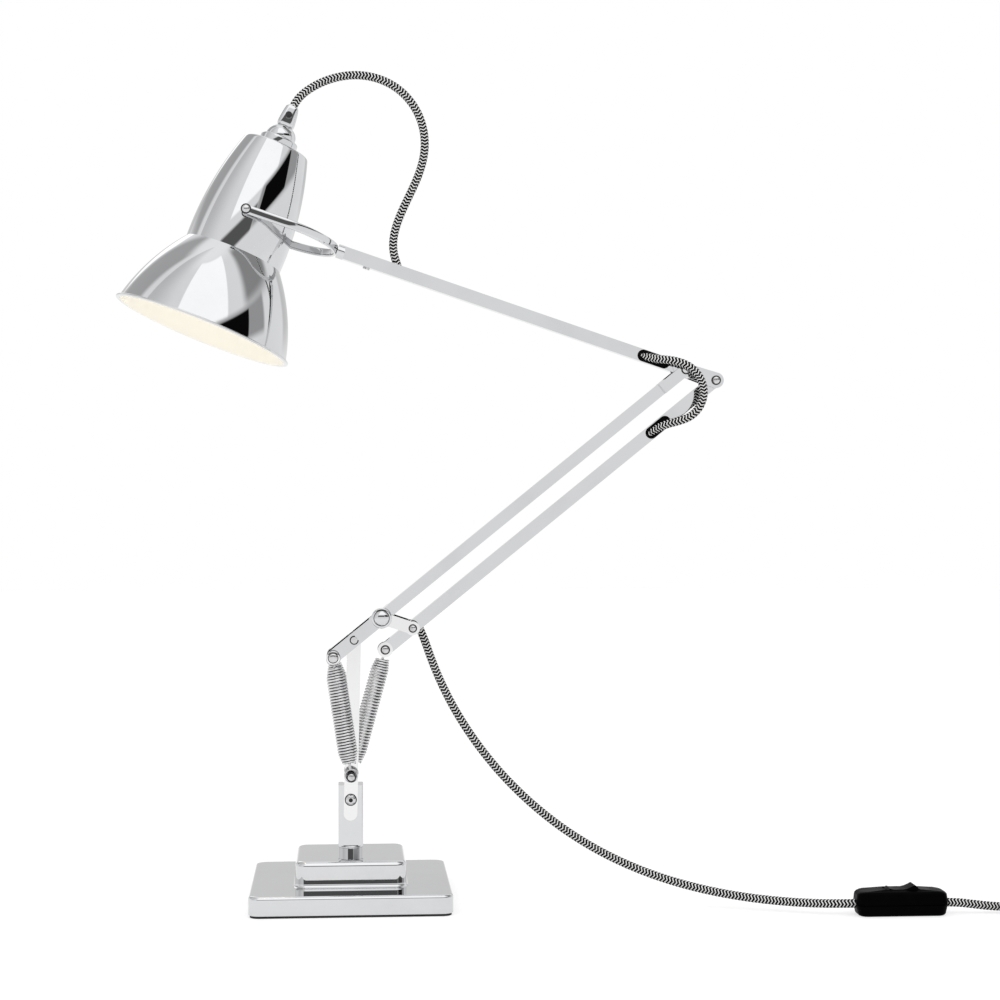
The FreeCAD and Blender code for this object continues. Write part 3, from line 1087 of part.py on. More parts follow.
def build_cords():
    """Cord over the shade, cord round the elbow, hanging lead and the lead beyond the switch."""
    clamp_top = S.crown_height + S.seat_gap / 2 + S.cap_ring_high + S.cap_dome_high + S.clamp_high
    shade, arm = shade_frame(), arm_frame(ARM_END, UPPER_WAY)
    bar_head, bar_tail = arm_frame(ARM_END, S.lower_angle + 180), arm_frame(BAR_TAIL, S.lower_angle)
    clamped = shade.multVec(Vector(0, 0, clamp_top - S.clamp_bore_deep + S.seat_gap))
    leaving = shade.multVec(Vector(0, 0, clamp_top + S.cord_dia / 2))
    entering = arm.multVec(Vector(S.arm_exit - 4.0, -1.0, 0))
    slot, other = S.arm_slot_near, S.bar_slot_near
    in_arm = [arm.multVec(Vector(slot + x, y, z))
              for x, y, z in ((44, 0, -0.7), (29.5, 0, -0.3), (18, -0.2, 4.4), (9, -1.5, 10.8))]
    in_bar = [bar_head.multVec(Vector(other + x, y, z))
              for x, y, z in ((5, 2.6, 11.5), (14, 0.3, 4.6), (24.5, -0.2, 0.2), (36.5, 0, -0.7))]
    bar_exit = bar_tail.multVec(Vector(S.knob_reach + S.bar_exit + 2.7, 0, 0))
    switch_in = Vector(S.switch_left + S.switch_end_wall, S.switch_middle, S.switch_split)
    switch_out = switch_in + Vector(S.switch_long - 2 * S.switch_end_wall, 0, 0)
    straight, coil = Vector(S.switch_run, 0, 0), coil_start() - Vector(S.cord_fit, 0, 0)
    routes = {
        "shade_cord": [clamped] + moored(
            SHADE_CORD_RUN, leaving, entering, (-51.3, 8.5, 728.5), (43.7, 0.0, 575.7)),
        "elbow_cord": in_arm[:-1] + moored(
            ELBOW_CORD_RUN, in_arm[-1], in_bar[0], (285.1, -10.8, 494.2), (290.9, -11.5, 434.9)) + in_bar[1:],
        "hanging_lead": moored(
            HANGING_RUN, bar_exit, switch_in - straight,
            (64.4, 0.0, 254.4), (434.0, -109.0, 10.0)) + [switch_in],
        "lead_tail": [switch_out] + moored(
            TAIL_RUN, switch_out + straight, coil - straight,
            (532.0, -109.0, 10.0), (599.9, -107.9, 4.7)) + [coil],
    }
    for label, route in routes.items():
        print(label, [tuple(round(value, 1) for value in point) for point in route])
        keep(feature(label, sweep_round(rounded_path(label, route), CORD)), label)


# Switch, coil, tie and plug


def build_switch():
    """Inline rocker switch: lower shell, arched cover and rocker on its axis."""
    long, half = S.switch_long, S.switch_wide / 2
    frame = Placement(Vector(S.switch_left, S.switch_middle, 0), Rotation())
    bore_frame = frame.multiply(Placement(Vector(-1, 0, S.switch_split), Rotation(Vector(0, 1, 0), 90)))
    bore = CORD + S.cord_fit
    inner, room = S.switch_end_wall, half - S.switch_wall

    shell = strip("switch_base", rectangle(0.0, long, -half, half), S.switch_split, [])
    round_edges(shell, "switch_corner", S.switch_corner, lambda edge: runs_along(edge, 2))
    round_edges(shell, "switch_foot", 2.0, lambda edge: level_edge(edge, 0.0))
    depth = S.switch_split - S.switch_wall
    lift = rectangle(inner, long - inner, -room, room)
    cavity = doc.addObject("Part::Box", "switch_base_room")
    for prop, value in (("Length", lift[1][0] - inner), ("Width", 2 * room), ("Height", depth + 1)):
        bind(cavity, prop, f"switch_base_room_{prop.lower()}", value)
    cavity.Placement = Placement(Vector(inner, -room, S.switch_wall), Rotation())
    hollow = doc.addObject("Part::Cut", "switch_base_hollow")
    hollow.Base, hollow.Tool = shell, cavity
    hollow.Placement = frame
    keep(cut_bore("switch_base", hollow, bore, long + 2, bore_frame), "switch_base")

    taper, split = S.switch_taper, S.switch_split + S.side_gap / 3
    cover = new_body("switch_cover")
    sketch = new_sketch(cover, "switch_cover_side", "XZ_Plane")
    draw_outline(sketch, "switch_cover", [
        (0.0, split), (long, split), (long, S.switch_shoulder),
        (long - taper, S.switch_knee, long / 2, S.switch_crown),
        (taper, S.switch_knee), (0.0, S.switch_shoulder),
    ])
    pad(cover, sketch, S.switch_wide, "switch_cover", symmetric=True)
    end_edge = lambda edge: runs_along(edge, 2)
    round_edges(cover, "cover_corner", S.switch_corner, end_edge)
    inside = rectangle(inner, long - inner, split, S.switch_room)
    pocket(cover, inside, "switch_cover_room", 2 * room, role="XZ_Plane", symmetric=True)
    reach, side = S.rocker_long / 2 + S.rocker_gap, S.rocker_wide / 2 + S.rocker_gap
    window = rectangle(long / 2 - reach, long / 2 + reach, -side, side)
    pocket(cover, window, "rocker_window", forwards=True)
    span = S.rocker_wide + 2 * S.trunnion_long
    socket = (long / 2, S.rocker_axis, S.trunnion_dia / 2 + S.pin_fit)
    pocket(cover, None, "trunnion_sockets", span + 2 * S.trunnion_gap, role="XZ_Plane", symmetric=True, hole=socket)
    cover.Placement = frame
    keep(cut_bore("switch_cover", cover, bore, long + 2, bore_frame), "switch_cover")

    reach = S.rocker_long / 2
    rocker = new_body("switch_rocker")
    sketch = new_sketch(rocker, "switch_rocker_side", "XZ_Plane")
    low, high, dip = (value - S.rocker_axis for value in (S.rocker_low, S.rocker_high, S.rocker_dip))
    draw_outline(sketch, "switch_rocker", [
        (reach - 3, low), (-reach + 3, low), (-reach + 1, dip - 2.4), (-reach + 4, dip - 0.4, -0.5, dip - 1.4),
        (reach - 4, high), (reach - 1, high - 2.4)])
    pad(rocker, sketch, S.rocker_wide, "switch_rocker", symmetric=True)
    round_edges(rocker, "rocker_side", 0.8, lambda edge: runs_along(edge, 1) and edge.BoundBox.ZMin > 0)
    sketch = new_sketch(rocker, "trunnion_section", "XZ_Plane")
    draw_circle(sketch, "trunnion", 0.0, 0.0, S.trunnion_dia / 2)
    pad(rocker, sketch, span, "trunnion", symmetric=True)
    axis = Placement(Vector(long / 2, 0, S.rocker_axis), Rotation())
    keep(rocker, "switch_rocker", frame.multiply(axis))


def coil_levels():
    """Heights of the coil's two layers of cord above the floor."""
    low = S.tie_thick + 2 * S.tie_gap + CORD
    return low, low + S.cord_dia + S.layer_gap


def coil_radii():
    """Radius of the coil at each half turn of one layer, from outside to inside."""
    step = (S.cord_dia + S.turn_gap) / 2
    halves = int(2 * S.layer_turns)
    outer = S.coil_across / 2 + halves * step / 2
    return [outer - i * step for i in range(halves + 1)]


def coil_start():
    """Point where the lead joins the coil, one cord diameter before its first turn."""
    return Vector(S.coil_x - S.cord_dia, S.coil_y + coil_radii()[0], coil_levels()[0])


def build_coil():
    """Tied coil of the spare lead in two layers, with its plug at the end of the upper layer."""
    low, high = coil_levels()
    radii = coil_radii()
    spirals = radii + radii[:0:-1]
    heights = [low] * len(radii) + [high] * (len(radii) - 1)
    edges, points, side = [], [], 1
    for i in range(len(spirals) - 1):
        start = Vector(0, side * spirals[i], heights[i])
        end = Vector(0, -side * spirals[i + 1], heights[i + 1])
        middle = (start + end) / 2 + Vector(side * (spirals[i] + spirals[i + 1]) / 2, 0, 0)
        edges.append(Part.Arc(start, middle, end).toShape())
        points += edges[-1].discretize(25)[:-1]
        side = -side
    first, last = Vector(0, spirals[0], low), Vector(0, side * spirals[-1], high)
    straight = Vector(S.cord_dia, 0, 0)
    edges.insert(0, Part.LineSegment(first - straight, first).toShape())
    far = last + Vector(side * S.plug_lead, 0, 0)
    edges.append(Part.LineSegment(last, far).toShape())
    path = Part.Wire(edges)
    print(f"lead_coil: {path.Length:.0f} mm long, least gap {least_gap(points, S.cord_dia, 20):.2f} mm")
    middle = Placement(Vector(S.coil_x, S.coil_y, 0), Rotation())
    keep(feature("lead_coil", sweep_round(path, CORD)), "lead_coil", middle)

    gap, thick = CORD + S.tie_gap, S.tie_thick
    inner_from, inner_to = radii[-1] - gap, radii[0] + gap
    floor_in, roof_in = low - gap, high + gap
    tie = new_body("coil_tie")
    sketch = new_sketch(tie, "coil_tie_section", "XZ_Plane")
    around = rectangle(inner_from - thick, inner_to + thick, floor_in - thick, roof_in + thick)
    draw_outline(sketch, "tie_outer", around)
    draw_outline(sketch, "tie_inner", rectangle(inner_from, inner_to, floor_in, roof_in))
    pad(tie, sketch, S.tie_wide, "coil_tie", symmetric=True)
    keep(tie, "coil_tie", middle)

    tail, wide, deep = S.plug_tail_long, S.plug_high / 2, S.plug_wide / 2
    way = Rotation(Vector(0, 0, 1), Vector(side, 0, 0))
    place = Placement(middle.multVec(far) + Vector(side * (tail + S.cord_fit), 0, 0), way)
    plug = new_body("plug_body")
    sketch = new_sketch(plug, "plug_block_outline")
    draw_outline(sketch, "plug_block", rectangle(-wide, wide, -deep, deep))
    pad(plug, sketch, S.plug_long, "plug_block")
    round_edges(plug, "plug_corner", S.plug_corner, lambda edge: runs_along(edge, 2))
    sketch = new_sketch(plug, "plug_tail_section", "XZ_Plane")
    draw_outline(sketch, "plug_tail", [
        (0.0, 1.0), (0.0, -tail), (CORD + 0.8, -tail), (S.plug_tail_dia / 2, -3.0),
        (wide - 3, 0.0), (wide - 3, 1.0)])
    turn = plug.newObject("PartDesign::Revolution", "plug_tail_turn")
    turn.Profile = sketch
    turn.ReferenceAxis = (sketch, ["V_Axis"])
    bind(turn, "Angle", "plug_tail_sweep", 360.0)
    keep(plug, "plug_body", place)
    pins = []
    for name, offset in (("left", -1), ("right", 1)):
        pin = turned(f"plug_pin_{name}", [
            (0.0, 0.0), (S.plug_pin_dia / 2, 0.0), (S.plug_pin_dia / 2, S.plug_pin_long - 1.5),
            (S.plug_pin_dia / 2 - 1, S.plug_pin_long), (0.0, S.plug_pin_long)])
        root = Placement(Vector(0, offset * S.plug_pin_spacing / 2, S.plug_long), Rotation())
        pin.Placement = place.multiply(root)
        pins.append(pin)
    keep(gather("plug_pins", pins), "plug_pins")


def write_parts():
    """Check every object and write each sub-part to its own file."""
    doc.recompute()
    for thing in doc.Objects:
        if {"Invalid", "Error"} & set(thing.State):
            raise ValueError(f"{thing.Name} failed: {thing.State}")
    os.makedirs("parts", exist_ok=True)
    for thing in subparts:
        if thing.Shape.isNull() or not thing.Shape.isValid():
            raise ValueError(f"{thing.Label} has no valid shape")
        thing.Shape.exportStep(f"parts/{thing.Label}.step")
    print(f"{len(subparts)} sub-parts written")


for alias_name, driving_value in SIZES.items():
    cell(alias_name, driving_value)
build_base()
build_swivel()
build_lower_arm()
build_link()
build_parallel_bar()
build_upper_arm()
build_fork()
build_shade()
build_springs()
build_cords()
build_switch()
build_coil()
write_parts()
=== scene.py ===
"""Dressed model of a spring-balanced architect lamp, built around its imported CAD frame.

The frame is in metres: X to the right, Y away from the camera, Z up, origin under the base.
Sizes are given in millimetres and turned into metres with MM.
"""
import json
import logging
import math
from dataclasses import dataclass
from enum import Enum
from typing import Callable, Optional, Sequence

import bmesh
import bpy
import numpy as np
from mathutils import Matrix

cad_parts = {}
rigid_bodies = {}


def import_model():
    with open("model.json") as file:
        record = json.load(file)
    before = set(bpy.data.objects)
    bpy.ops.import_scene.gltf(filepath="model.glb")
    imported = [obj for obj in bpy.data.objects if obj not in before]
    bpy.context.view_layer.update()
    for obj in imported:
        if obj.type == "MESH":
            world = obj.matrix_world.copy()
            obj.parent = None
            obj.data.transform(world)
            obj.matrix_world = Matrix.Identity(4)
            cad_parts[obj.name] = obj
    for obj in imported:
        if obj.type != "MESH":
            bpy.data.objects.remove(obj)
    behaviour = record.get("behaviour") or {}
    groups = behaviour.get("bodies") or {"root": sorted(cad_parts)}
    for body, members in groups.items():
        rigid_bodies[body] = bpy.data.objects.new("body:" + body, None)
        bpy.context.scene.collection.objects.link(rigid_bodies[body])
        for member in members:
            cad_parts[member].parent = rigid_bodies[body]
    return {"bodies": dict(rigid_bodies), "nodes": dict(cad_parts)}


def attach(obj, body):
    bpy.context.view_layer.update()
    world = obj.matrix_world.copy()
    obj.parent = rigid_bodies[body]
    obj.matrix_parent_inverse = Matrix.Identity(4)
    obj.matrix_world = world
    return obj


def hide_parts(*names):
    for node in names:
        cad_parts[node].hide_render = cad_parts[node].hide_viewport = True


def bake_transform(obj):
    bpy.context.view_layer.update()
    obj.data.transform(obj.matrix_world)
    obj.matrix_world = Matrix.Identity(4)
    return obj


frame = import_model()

MM = 0.001
LOG = logging.getLogger("architect_lamp")
Colour = tuple[float, float, float]
Point = tuple[float, float, float]
Pair = tuple[float, float]
Band = tuple[float, float, float]
Arc = tuple[Pair, Pair, Pair]
Relief = Callable[[np.ndarray, np.ndarray], np.ndarray]
Tree = bpy.types.NodeTree
Node = bpy.types.Node
Socket = bpy.types.NodeSocket
Item = bpy.types.Object
Material = bpy.types.Material
WELD = 2e-6
SLIVER = 1e-7

# Pivots as X and Z in millimetres, and directions, that several pieces share
SPRING_ANCHOR = (0.46, 113.8)
ARM_TAIL = (-15.98, 221.87)
BAR_TAIL = (31.48, 227.73)
ARM_END = (336.69, 475.32)
ARM_LINE = (-0.9478, 0.0, 0.3190)
BAR_LINE = (0.7766, 0.0, 0.6300)
FORK_FRONT = (0.0234, -0.9973, 0.0694)

# Objects that are not the frame's own go
KEPT = set(frame["nodes"].values()) | set(frame["bodies"].values())
for stray in [item for item in bpy.data.objects if item not in KEPT]:
    bpy.data.objects.remove(stray)
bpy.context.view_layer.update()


class Slot(str, Enum):
    """Material slots of the part's record."""

    CHROME = "chrome_plate"
    SPRING = "spring_steel"
    STEEL = "bright_steel"
    WEIGHT = "cast_weight"
    PAD = "black_pad"
    CORD = "braided_cord"
    PLASTIC = "black_plastic"
    LINING = "black_lining"
    BRASS = "brass_pins"
    HOLDER = "holder_plastic"
    GLASS = "bulb_glass"
    CAP = "bulb_metal"


class Body(str, Enum):
    """Moving bodies that the pieces ride on."""

    BASE = "base"
    SWIVEL = "swivel"
    LOWER_ARM = "lower_arm"
    LINK = "link"
    BAR = "parallel_bar"
    UPPER_ARM = "upper_arm"
    FORK = "fork"
    SHADE = "shade"
    OUTER_TOPS = "outer_spring_tops"
    MIDDLE_MID = "middle_spring_mid"
    MIDDLE_TOP = "middle_spring_top"


# Node groups and finishes


def new_group(name: str, inputs: Sequence[tuple[str, str, float]], outputs: Sequence[str]) -> Tree:
    """Start a shader node group with named sockets.

    Args:
        name: name of the group.
        inputs: name, socket type and default of each input.
        outputs: names of the float outputs.

    Returns:
        The group, with its input and output nodes placed.
    """
    group = bpy.data.node_groups.new(name, "ShaderNodeTree")
    for label, kind, default in inputs:
        socket = group.interface.new_socket(label, in_out="INPUT", socket_type=kind)
        if kind == "NodeSocketFloat":
            socket.default_value = default
    for label in outputs:
        group.interface.new_socket(label, in_out="OUTPUT", socket_type="NodeSocketFloat")
    group.nodes.new("NodeGroupInput").name = "In"
    group.nodes.new("NodeGroupOutput").name = "Out"
    return group


def math_node(tree: Tree, operation: str, first: object, second: object = None) -> Socket:
    """Add a Math node.

    Args:
        tree: node tree that takes the node.
        operation: the Math node's operation.
        first: socket or number of the first input.
        second: socket or number of the second input, if any.

    Returns:
        The node's output socket.
    """
    node = tree.nodes.new("ShaderNodeMath")
    node.operation = operation
    for socket, value in zip(node.inputs, (first, second)):
        if isinstance(value, (int, float)):
            socket.default_value = value
        elif value is not None:
            tree.links.new(value, socket)
    return node.outputs[0]


def map_range(tree: Tree, value: Socket, source: Pair,
              target: Pair, smooth: bool = False) -> Socket:
    """Add a clamped Map Range node from one interval to another.

    Args:
        tree: node tree that takes the node.
        value: socket to map.
        source: interval of the incoming value.
        target: interval of the result.
        smooth: whether the step is smooth.

    Returns:
        The node's output socket.
    """
    node = tree.nodes.new("ShaderNodeMapRange")
    node.interpolation_type = "SMOOTHSTEP" if smooth else "LINEAR"
    node.clamp = True
    tree.links.new(value, node.inputs["Value"])
    for label, number in zip(("From Min", "From Max", "To Min", "To Max"), (*source, *target)):
        node.inputs[label].default_value = number
    return node.outputs["Result"]


def smudge_group() -> Tree:
    """Build the shared group of soft handling marks, a two-scale noise stretched to a mask."""
    group = new_group("smudges", [
        ("Vector", "NodeSocketVector", 0), ("Scale", "NodeSocketFloat", 20)], ["Mask"])
    nodes, links = group.nodes, group.links
    noise = nodes.new("ShaderNodeTexNoise")
    noise.inputs["Detail"].default_value = 5.0
    noise.inputs["Roughness"].default_value = 0.6
    links.new(nodes["In"].outputs["Vector"], noise.inputs["Vector"])
    links.new(nodes["In"].outputs["Scale"], noise.inputs["Scale"])
    mask = map_range(group, noise.outputs["Fac"], (0.42, 0.72), (0.0, 1.0), smooth=True)
    links.new(mask, nodes["Out"].inputs["Mask"])
    return group


def grain_group() -> Tree:
    """Build the shared group of fine surface grain, a noise whose scale can be drawn out along X."""
    group = new_group("fine_grain", [
        ("Vector", "NodeSocketVector", 0), ("Scale", "NodeSocketFloat", 900), ("Draw", "NodeSocketFloat", 1)],
        ["Height"])
    nodes, links = group.nodes, group.links
    stretch = nodes.new("ShaderNodeCombineXYZ")
    stretch.inputs["Y"].default_value = stretch.inputs["Z"].default_value = 1.0
    links.new(nodes["In"].outputs["Draw"], stretch.inputs["X"])
    scaled = nodes.new("ShaderNodeVectorMath")
    scaled.operation = "MULTIPLY"
    links.new(nodes["In"].outputs["Vector"], scaled.inputs[0])
    links.new(stretch.outputs[0], scaled.inputs[1])
    noise = nodes.new("ShaderNodeTexNoise")
    noise.inputs["Detail"].default_value = 3.0
    links.new(scaled.outputs[0], noise.inputs["Vector"])
    links.new(nodes["In"].outputs["Scale"], noise.inputs["Scale"])
    links.new(noise.outputs["Fac"], nodes["Out"].inputs["Height"])
    return group


SMUDGES = smudge_group()
GRAIN = grain_group()


@dataclass(frozen=True)
class Finish:
    """Surface finish with soft marks in its colour and gloss and a fine grain in its relief."""

    name: str
    clean: Colour
    marked: Colour
    metallic: float = 0.0
    roughness: Pair = (0.3, 0.45)
    mark_scale: float = 30.0
    grain_scale: float = 900.0
    grain_draw: float = 1.0
    grain_depth: float = 0.00002
    coat: float = 0.0
    shine: float = 0.5
    glow: float = 0.0
    coat_roughness: float = 0.08

    def start(self) -> tuple[Material, Tree, Node]:
        """Start the material with its Principled shader and the values that are the same all over."""
        material = bpy.data.materials.new(self.name)
        material.use_nodes = True
        tree = material.node_tree
        shader = tree.nodes["Principled BSDF"]
        shader.inputs["Metallic"].default_value = self.metallic
        shader.inputs["Coat Weight"].default_value = self.coat
        shader.inputs["Coat Roughness"].default_value = self.coat_roughness
        shader.inputs["Specular IOR Level"].default_value = self.shine
        shader.inputs["Emission Strength"].default_value = self.glow
        shader.inputs["Emission Color"].default_value = (*self.clean, 1.0)
        return material, tree, shader

    def place_group(self, tree: Tree, group: Tree, **values: float) -> Node:
        """Place a shared group on Object coordinates.

        Args:
            tree: the material's node tree.
            group: the shared group.
            **values: numbers for the group's inputs.

        Returns:
            The group node.
        """
        place = tree.nodes.new("ShaderNodeTexCoord")
        node = tree.nodes.new("ShaderNodeGroup")
        node.node_tree = group
        tree.links.new(place.outputs["Object"], node.inputs["Vector"])
        for label, value in values.items():
            node.inputs[label].default_value = value
        return node

    def mix(self, tree: Tree, mask: Socket, low: Colour | Socket, high: Colour) -> Socket:
        """Mix two colours by a mask.

        Args:
            tree: the material's node tree.
            mask: socket of the mask.
            low: colour, or socket of a colour, where the mask is 0.
            high: colour where the mask is 1.

        Returns:
            The mixed colour's socket.
        """
        node = tree.nodes.new("ShaderNodeMix")
        node.data_type = "RGBA"
        tree.links.new(mask, node.inputs["Factor"])
        if isinstance(low, Socket):
            tree.links.new(low, node.inputs["A"])
        else:
            node.inputs["A"].default_value = (*low, 1.0)
        node.inputs["B"].default_value = (*high, 1.0)
        return node.outputs["Result"]

    def worn(self, tree: Tree, shader: Node) -> Socket:
        """Lead the soft marks to the gloss and return their mask."""
        marks = self.place_group(tree, SMUDGES, Scale=self.mark_scale).outputs["Mask"]
        tree.links.new(map_range(tree, marks, (0.0, 1.0), self.roughness), shader.inputs["Roughness"])
        return marks

    def grain(self, tree: Tree) -> Socket:
        """Return the height of the fine grain."""
        return self.place_group(tree, GRAIN, Scale=self.grain_scale, Draw=self.grain_draw).outputs["Height"]

    def wound(self, tree: Tree) -> tuple[Socket, Socket]:
        """Return the share of the turn round a tube and the distance along it, read from its UV map."""
        place = tree.nodes.new("ShaderNodeUVMap")
        place.uv_map = "UVMap"
        split = tree.nodes.new("ShaderNodeSeparateXYZ")
        tree.links.new(place.outputs["UV"], split.inputs[0])
        return split.outputs["X"], split.outputs["Y"]

    def relief(self, tree: Tree, shader: Node, height: Socket, depth: float) -> None:
        """Lead a height through a Bump node to the shader's normal."""
        bump = tree.nodes.new("ShaderNodeBump")
        bump.inputs["Distance"].default_value = depth
        bump.inputs["Strength"].default_value = 1.0
        tree.links.new(height, bump.inputs["Height"])
        tree.links.new(bump.outputs["Normal"], shader.inputs["Normal"])

    def material(self) -> Material:
        """Build the finish's material."""
        material, tree, shader = self.start()
        marks = self.worn(tree, shader)
        tree.links.new(self.mix(tree, marks, self.clean, self.marked), shader.inputs["Base Color"])
        self.relief(tree, shader, self.grain(tree), self.grain_depth)
        return material


@dataclass(frozen=True)
class BraidFinish(Finish):
    """Woven cord cover: dark and pale yarns laid in chevrons round the cord, read from its UV map."""

    chevron_pitch: float = 3.0
    columns: float = 4.0
    slant: float = 1.15
    yarns: float = 4.0
    pale: Pair = (0.36, 0.6)

    def material(self) -> Material:
        """Build the braid: stripes along V, shifted by a triangle wave of U, with yarn relief."""
        material, tree, shader = self.start()
        turn, length = self.wound(tree)
        fold = math_node(tree, "PINGPONG", math_node(tree, "MULTIPLY", turn, self.columns), 0.5)
        along = math_node(tree, "MULTIPLY", length, 1.0 / (self.chevron_pitch * MM))
        phase = math_node(tree, "ADD", along, math_node(tree, "MULTIPLY", fold, self.slant))
        wave = math_node(tree, "SINE", math_node(tree, "MULTIPLY", phase, 2.0 * math.pi))
        pale = map_range(tree, wave, self.pale, (0.0, 1.0), smooth=True)
        tree.links.new(self.mix(tree, pale, self.marked, self.clean), shader.inputs["Base Color"])
        self.worn(tree, shader)
        yarn = math_node(tree, "SINE", math_node(tree, "MULTIPLY", phase, 2.0 * math.pi * self.yarns))
        self.relief(tree, shader, math_node(tree, "ADD", yarn, self.grain(tree)), self.grain_depth)
        return material


@dataclass(frozen=True)
class SpringFinish(Finish):
    """Bright wire with a painted shade line where neighbouring turns almost touch, read from its UV map."""

    # Band of the turn round the wire where painted shade stands for the shade between neighbouring turns
    line: Pair = (0.70, 0.94)
    gap_shade: Colour = (0.012, 0.012, 0.012)

    def material(self) -> Material:
        """Build the wire: the marks of its finish, with painted shade from the sine of the turn round the
        wire.
        """
        material, tree, shader = self.start()
        turn, _ = self.wound(tree)
        wave = math_node(tree, "SINE", math_node(tree, "MULTIPLY", turn, 2.0 * math.pi))
        # Painted shade: darkest where the wire faces its neighbouring turns
        gap_shaded = map_range(tree, math_node(tree, "ABSOLUTE", wave), self.line, (0.0, 1.0), smooth=True)
        wire = self.mix(tree, self.worn(tree, shader), self.clean, self.marked)
        tree.links.new(self.mix(tree, gap_shaded, wire, self.gap_shade), shader.inputs["Base Color"])
        self.relief(tree, shader, self.grain(tree), self.grain_depth)
        return material


FINISHES = {
    Slot.CHROME: Finish(
        "mirror_chrome", (0.645, 0.65, 0.66), (0.61, 0.615, 0.625), metallic=1.0, roughness=(0.02, 0.05),
        mark_scale=14.0, grain_scale=420.0, grain_depth=0.0000006),
    Slot.SPRING: SpringFinish(
        "spring_wire", (0.70, 0.70, 0.71), (0.58, 0.58, 0.59), metallic=1.0, roughness=(0.10, 0.2),
        mark_scale=90.0, grain_scale=1500.0, grain_draw=0.3),
    Slot.STEEL: Finish(
        "pin_steel", (0.62, 0.62, 0.63), (0.46, 0.46, 0.47), metallic=1.0, roughness=(0.10, 0.24),
        mark_scale=120.0, grain_scale=1800.0, grain_depth=0.000006),
    Slot.WEIGHT: Finish(
        "cast_iron", (0.10, 0.10, 0.105), (0.06, 0.055, 0.05), metallic=0.6, roughness=(0.6, 0.8),
        mark_scale=40.0, grain_scale=500.0, grain_depth=0.0002),
    Slot.PAD: Finish(
        "felt_pad", (0.012, 0.012, 0.013), (0.022, 0.022, 0.023), roughness=(0.85, 0.95),
        mark_scale=200.0, grain_scale=2500.0, grain_depth=0.0002),
    Slot.CORD: BraidFinish(
        "braided_cover", (0.88, 0.88, 0.87), (0.003, 0.003, 0.0035), roughness=(0.62, 0.82),
        mark_scale=160.0, grain_scale=5200.0, grain_depth=0.00012, shine=0.15),
    Slot.PLASTIC: Finish(
        "switch_black", (0.0006, 0.0006, 0.0007), (0.0011, 0.0011, 0.0012), roughness=(0.30, 0.44),
        mark_scale=70.0, grain_scale=1600.0, grain_depth=0.00003, shine=0.015),
    Slot.LINING: Finish(
        "slot_lining", (0.0015, 0.0015, 0.0015), (0.003, 0.003, 0.003), roughness=(0.45, 0.6),
        mark_scale=120.0, grain_scale=1500.0, shine=0.06),
    Slot.BRASS: Finish(
        "contact_brass", (0.80, 0.60, 0.28), (0.66, 0.46, 0.20), metallic=1.0, roughness=(0.16, 0.3),
        mark_scale=150.0, grain_scale=1500.0),
    Slot.HOLDER: Finish(
        "holder_bakelite", (0.030, 0.024, 0.020), (0.05, 0.04, 0.034), roughness=(0.22, 0.36),
        mark_scale=60.0, grain_scale=900.0),
    Slot.GLASS: Finish(
        "opal_glass", (1.0, 0.96, 0.89), (0.97, 0.93, 0.86), roughness=(0.10, 0.18),
        mark_scale=45.0, grain_scale=700.0, grain_depth=0.000004, coat=0.6, glow=2.2),
    Slot.CAP: Finish(
        "cap_nickel", (0.70, 0.68, 0.64), (0.52, 0.50, 0.46), metallic=1.0, roughness=(0.2, 0.34),
        mark_scale=140.0, grain_scale=1300.0),
}
ENAMEL = Finish(
    "cream_enamel", (0.955, 0.93, 0.855), (0.93, 0.895, 0.80), roughness=(0.30, 0.42),
    mark_scale=18.0, grain_scale=650.0, grain_depth=0.00001)
# A lighter copy of the chrome: painted brighter reflections on the uprights, link plates and pin washers
PAINTED_LIGHT_CHROME = Finish(
    "bright_plate", (0.80, 0.80, 0.805), (0.76, 0.76, 0.765), metallic=1.0, roughness=(0.03, 0.07),
    mark_scale=14.0, grain_scale=420.0, grain_depth=0.0000006)
# Near-black finish for the shoulder clips and clamp screw, and painted shade in the rings, grooves, seams and
# sockets of turned pieces
NEAR_BLACK_AND_SHADE = Finish(
    "dark_oxide", (0.020, 0.020, 0.022), (0.035, 0.034, 0.033), roughness=(0.28, 0.45),
    mark_scale=120.0, grain_scale=1500.0, shine=0.3)
MATERIALS: dict[Slot, Material] = {slot: finish.material() for slot, finish in FINISHES.items()}
ENAMEL_MATERIAL, PAINTED_LIGHT_CHROME_MATERIAL, NEAR_BLACK_AND_SHADE_MATERIAL = ENAMEL.material(), PAINTED_LIGHT_CHROME.material(), NEAR_BLACK_AND_SHADE.material()
# Uprights and link plates take the lighter chrome copy as painted brighter reflections; clips and clamp screw
# take the near-black finish
NODE_MATERIALS = {
    "upright_front": PAINTED_LIGHT_CHROME_MATERIAL, "upright_back": PAINTED_LIGHT_CHROME_MATERIAL, "link_plates": PAINTED_LIGHT_CHROME_MATERIAL,
    "shoulder_clips": NEAR_BLACK_AND_SHADE_MATERIAL, "clamp_screw": NEAR_BLACK_AND_SHADE_MATERIAL,
}


# Surfaces


def unit(vector: Sequence[float]) -> np.ndarray:
    """Return a vector at length one."""
    array = np.asarray(vector, float)
    return array / np.linalg.norm(array)


def across(axis: np.ndarray) -> tuple[np.ndarray, np.ndarray]:
    """Return two unit vectors at right angles to an axis and to each other."""
    helper = np.array((0.0, 1.0, 0.0)) if abs(axis[1]) < 0.8 else np.array((1.0, 0.0, 0.0))
    first = unit(np.cross(helper, axis))
    return first, np.cross(axis, first)


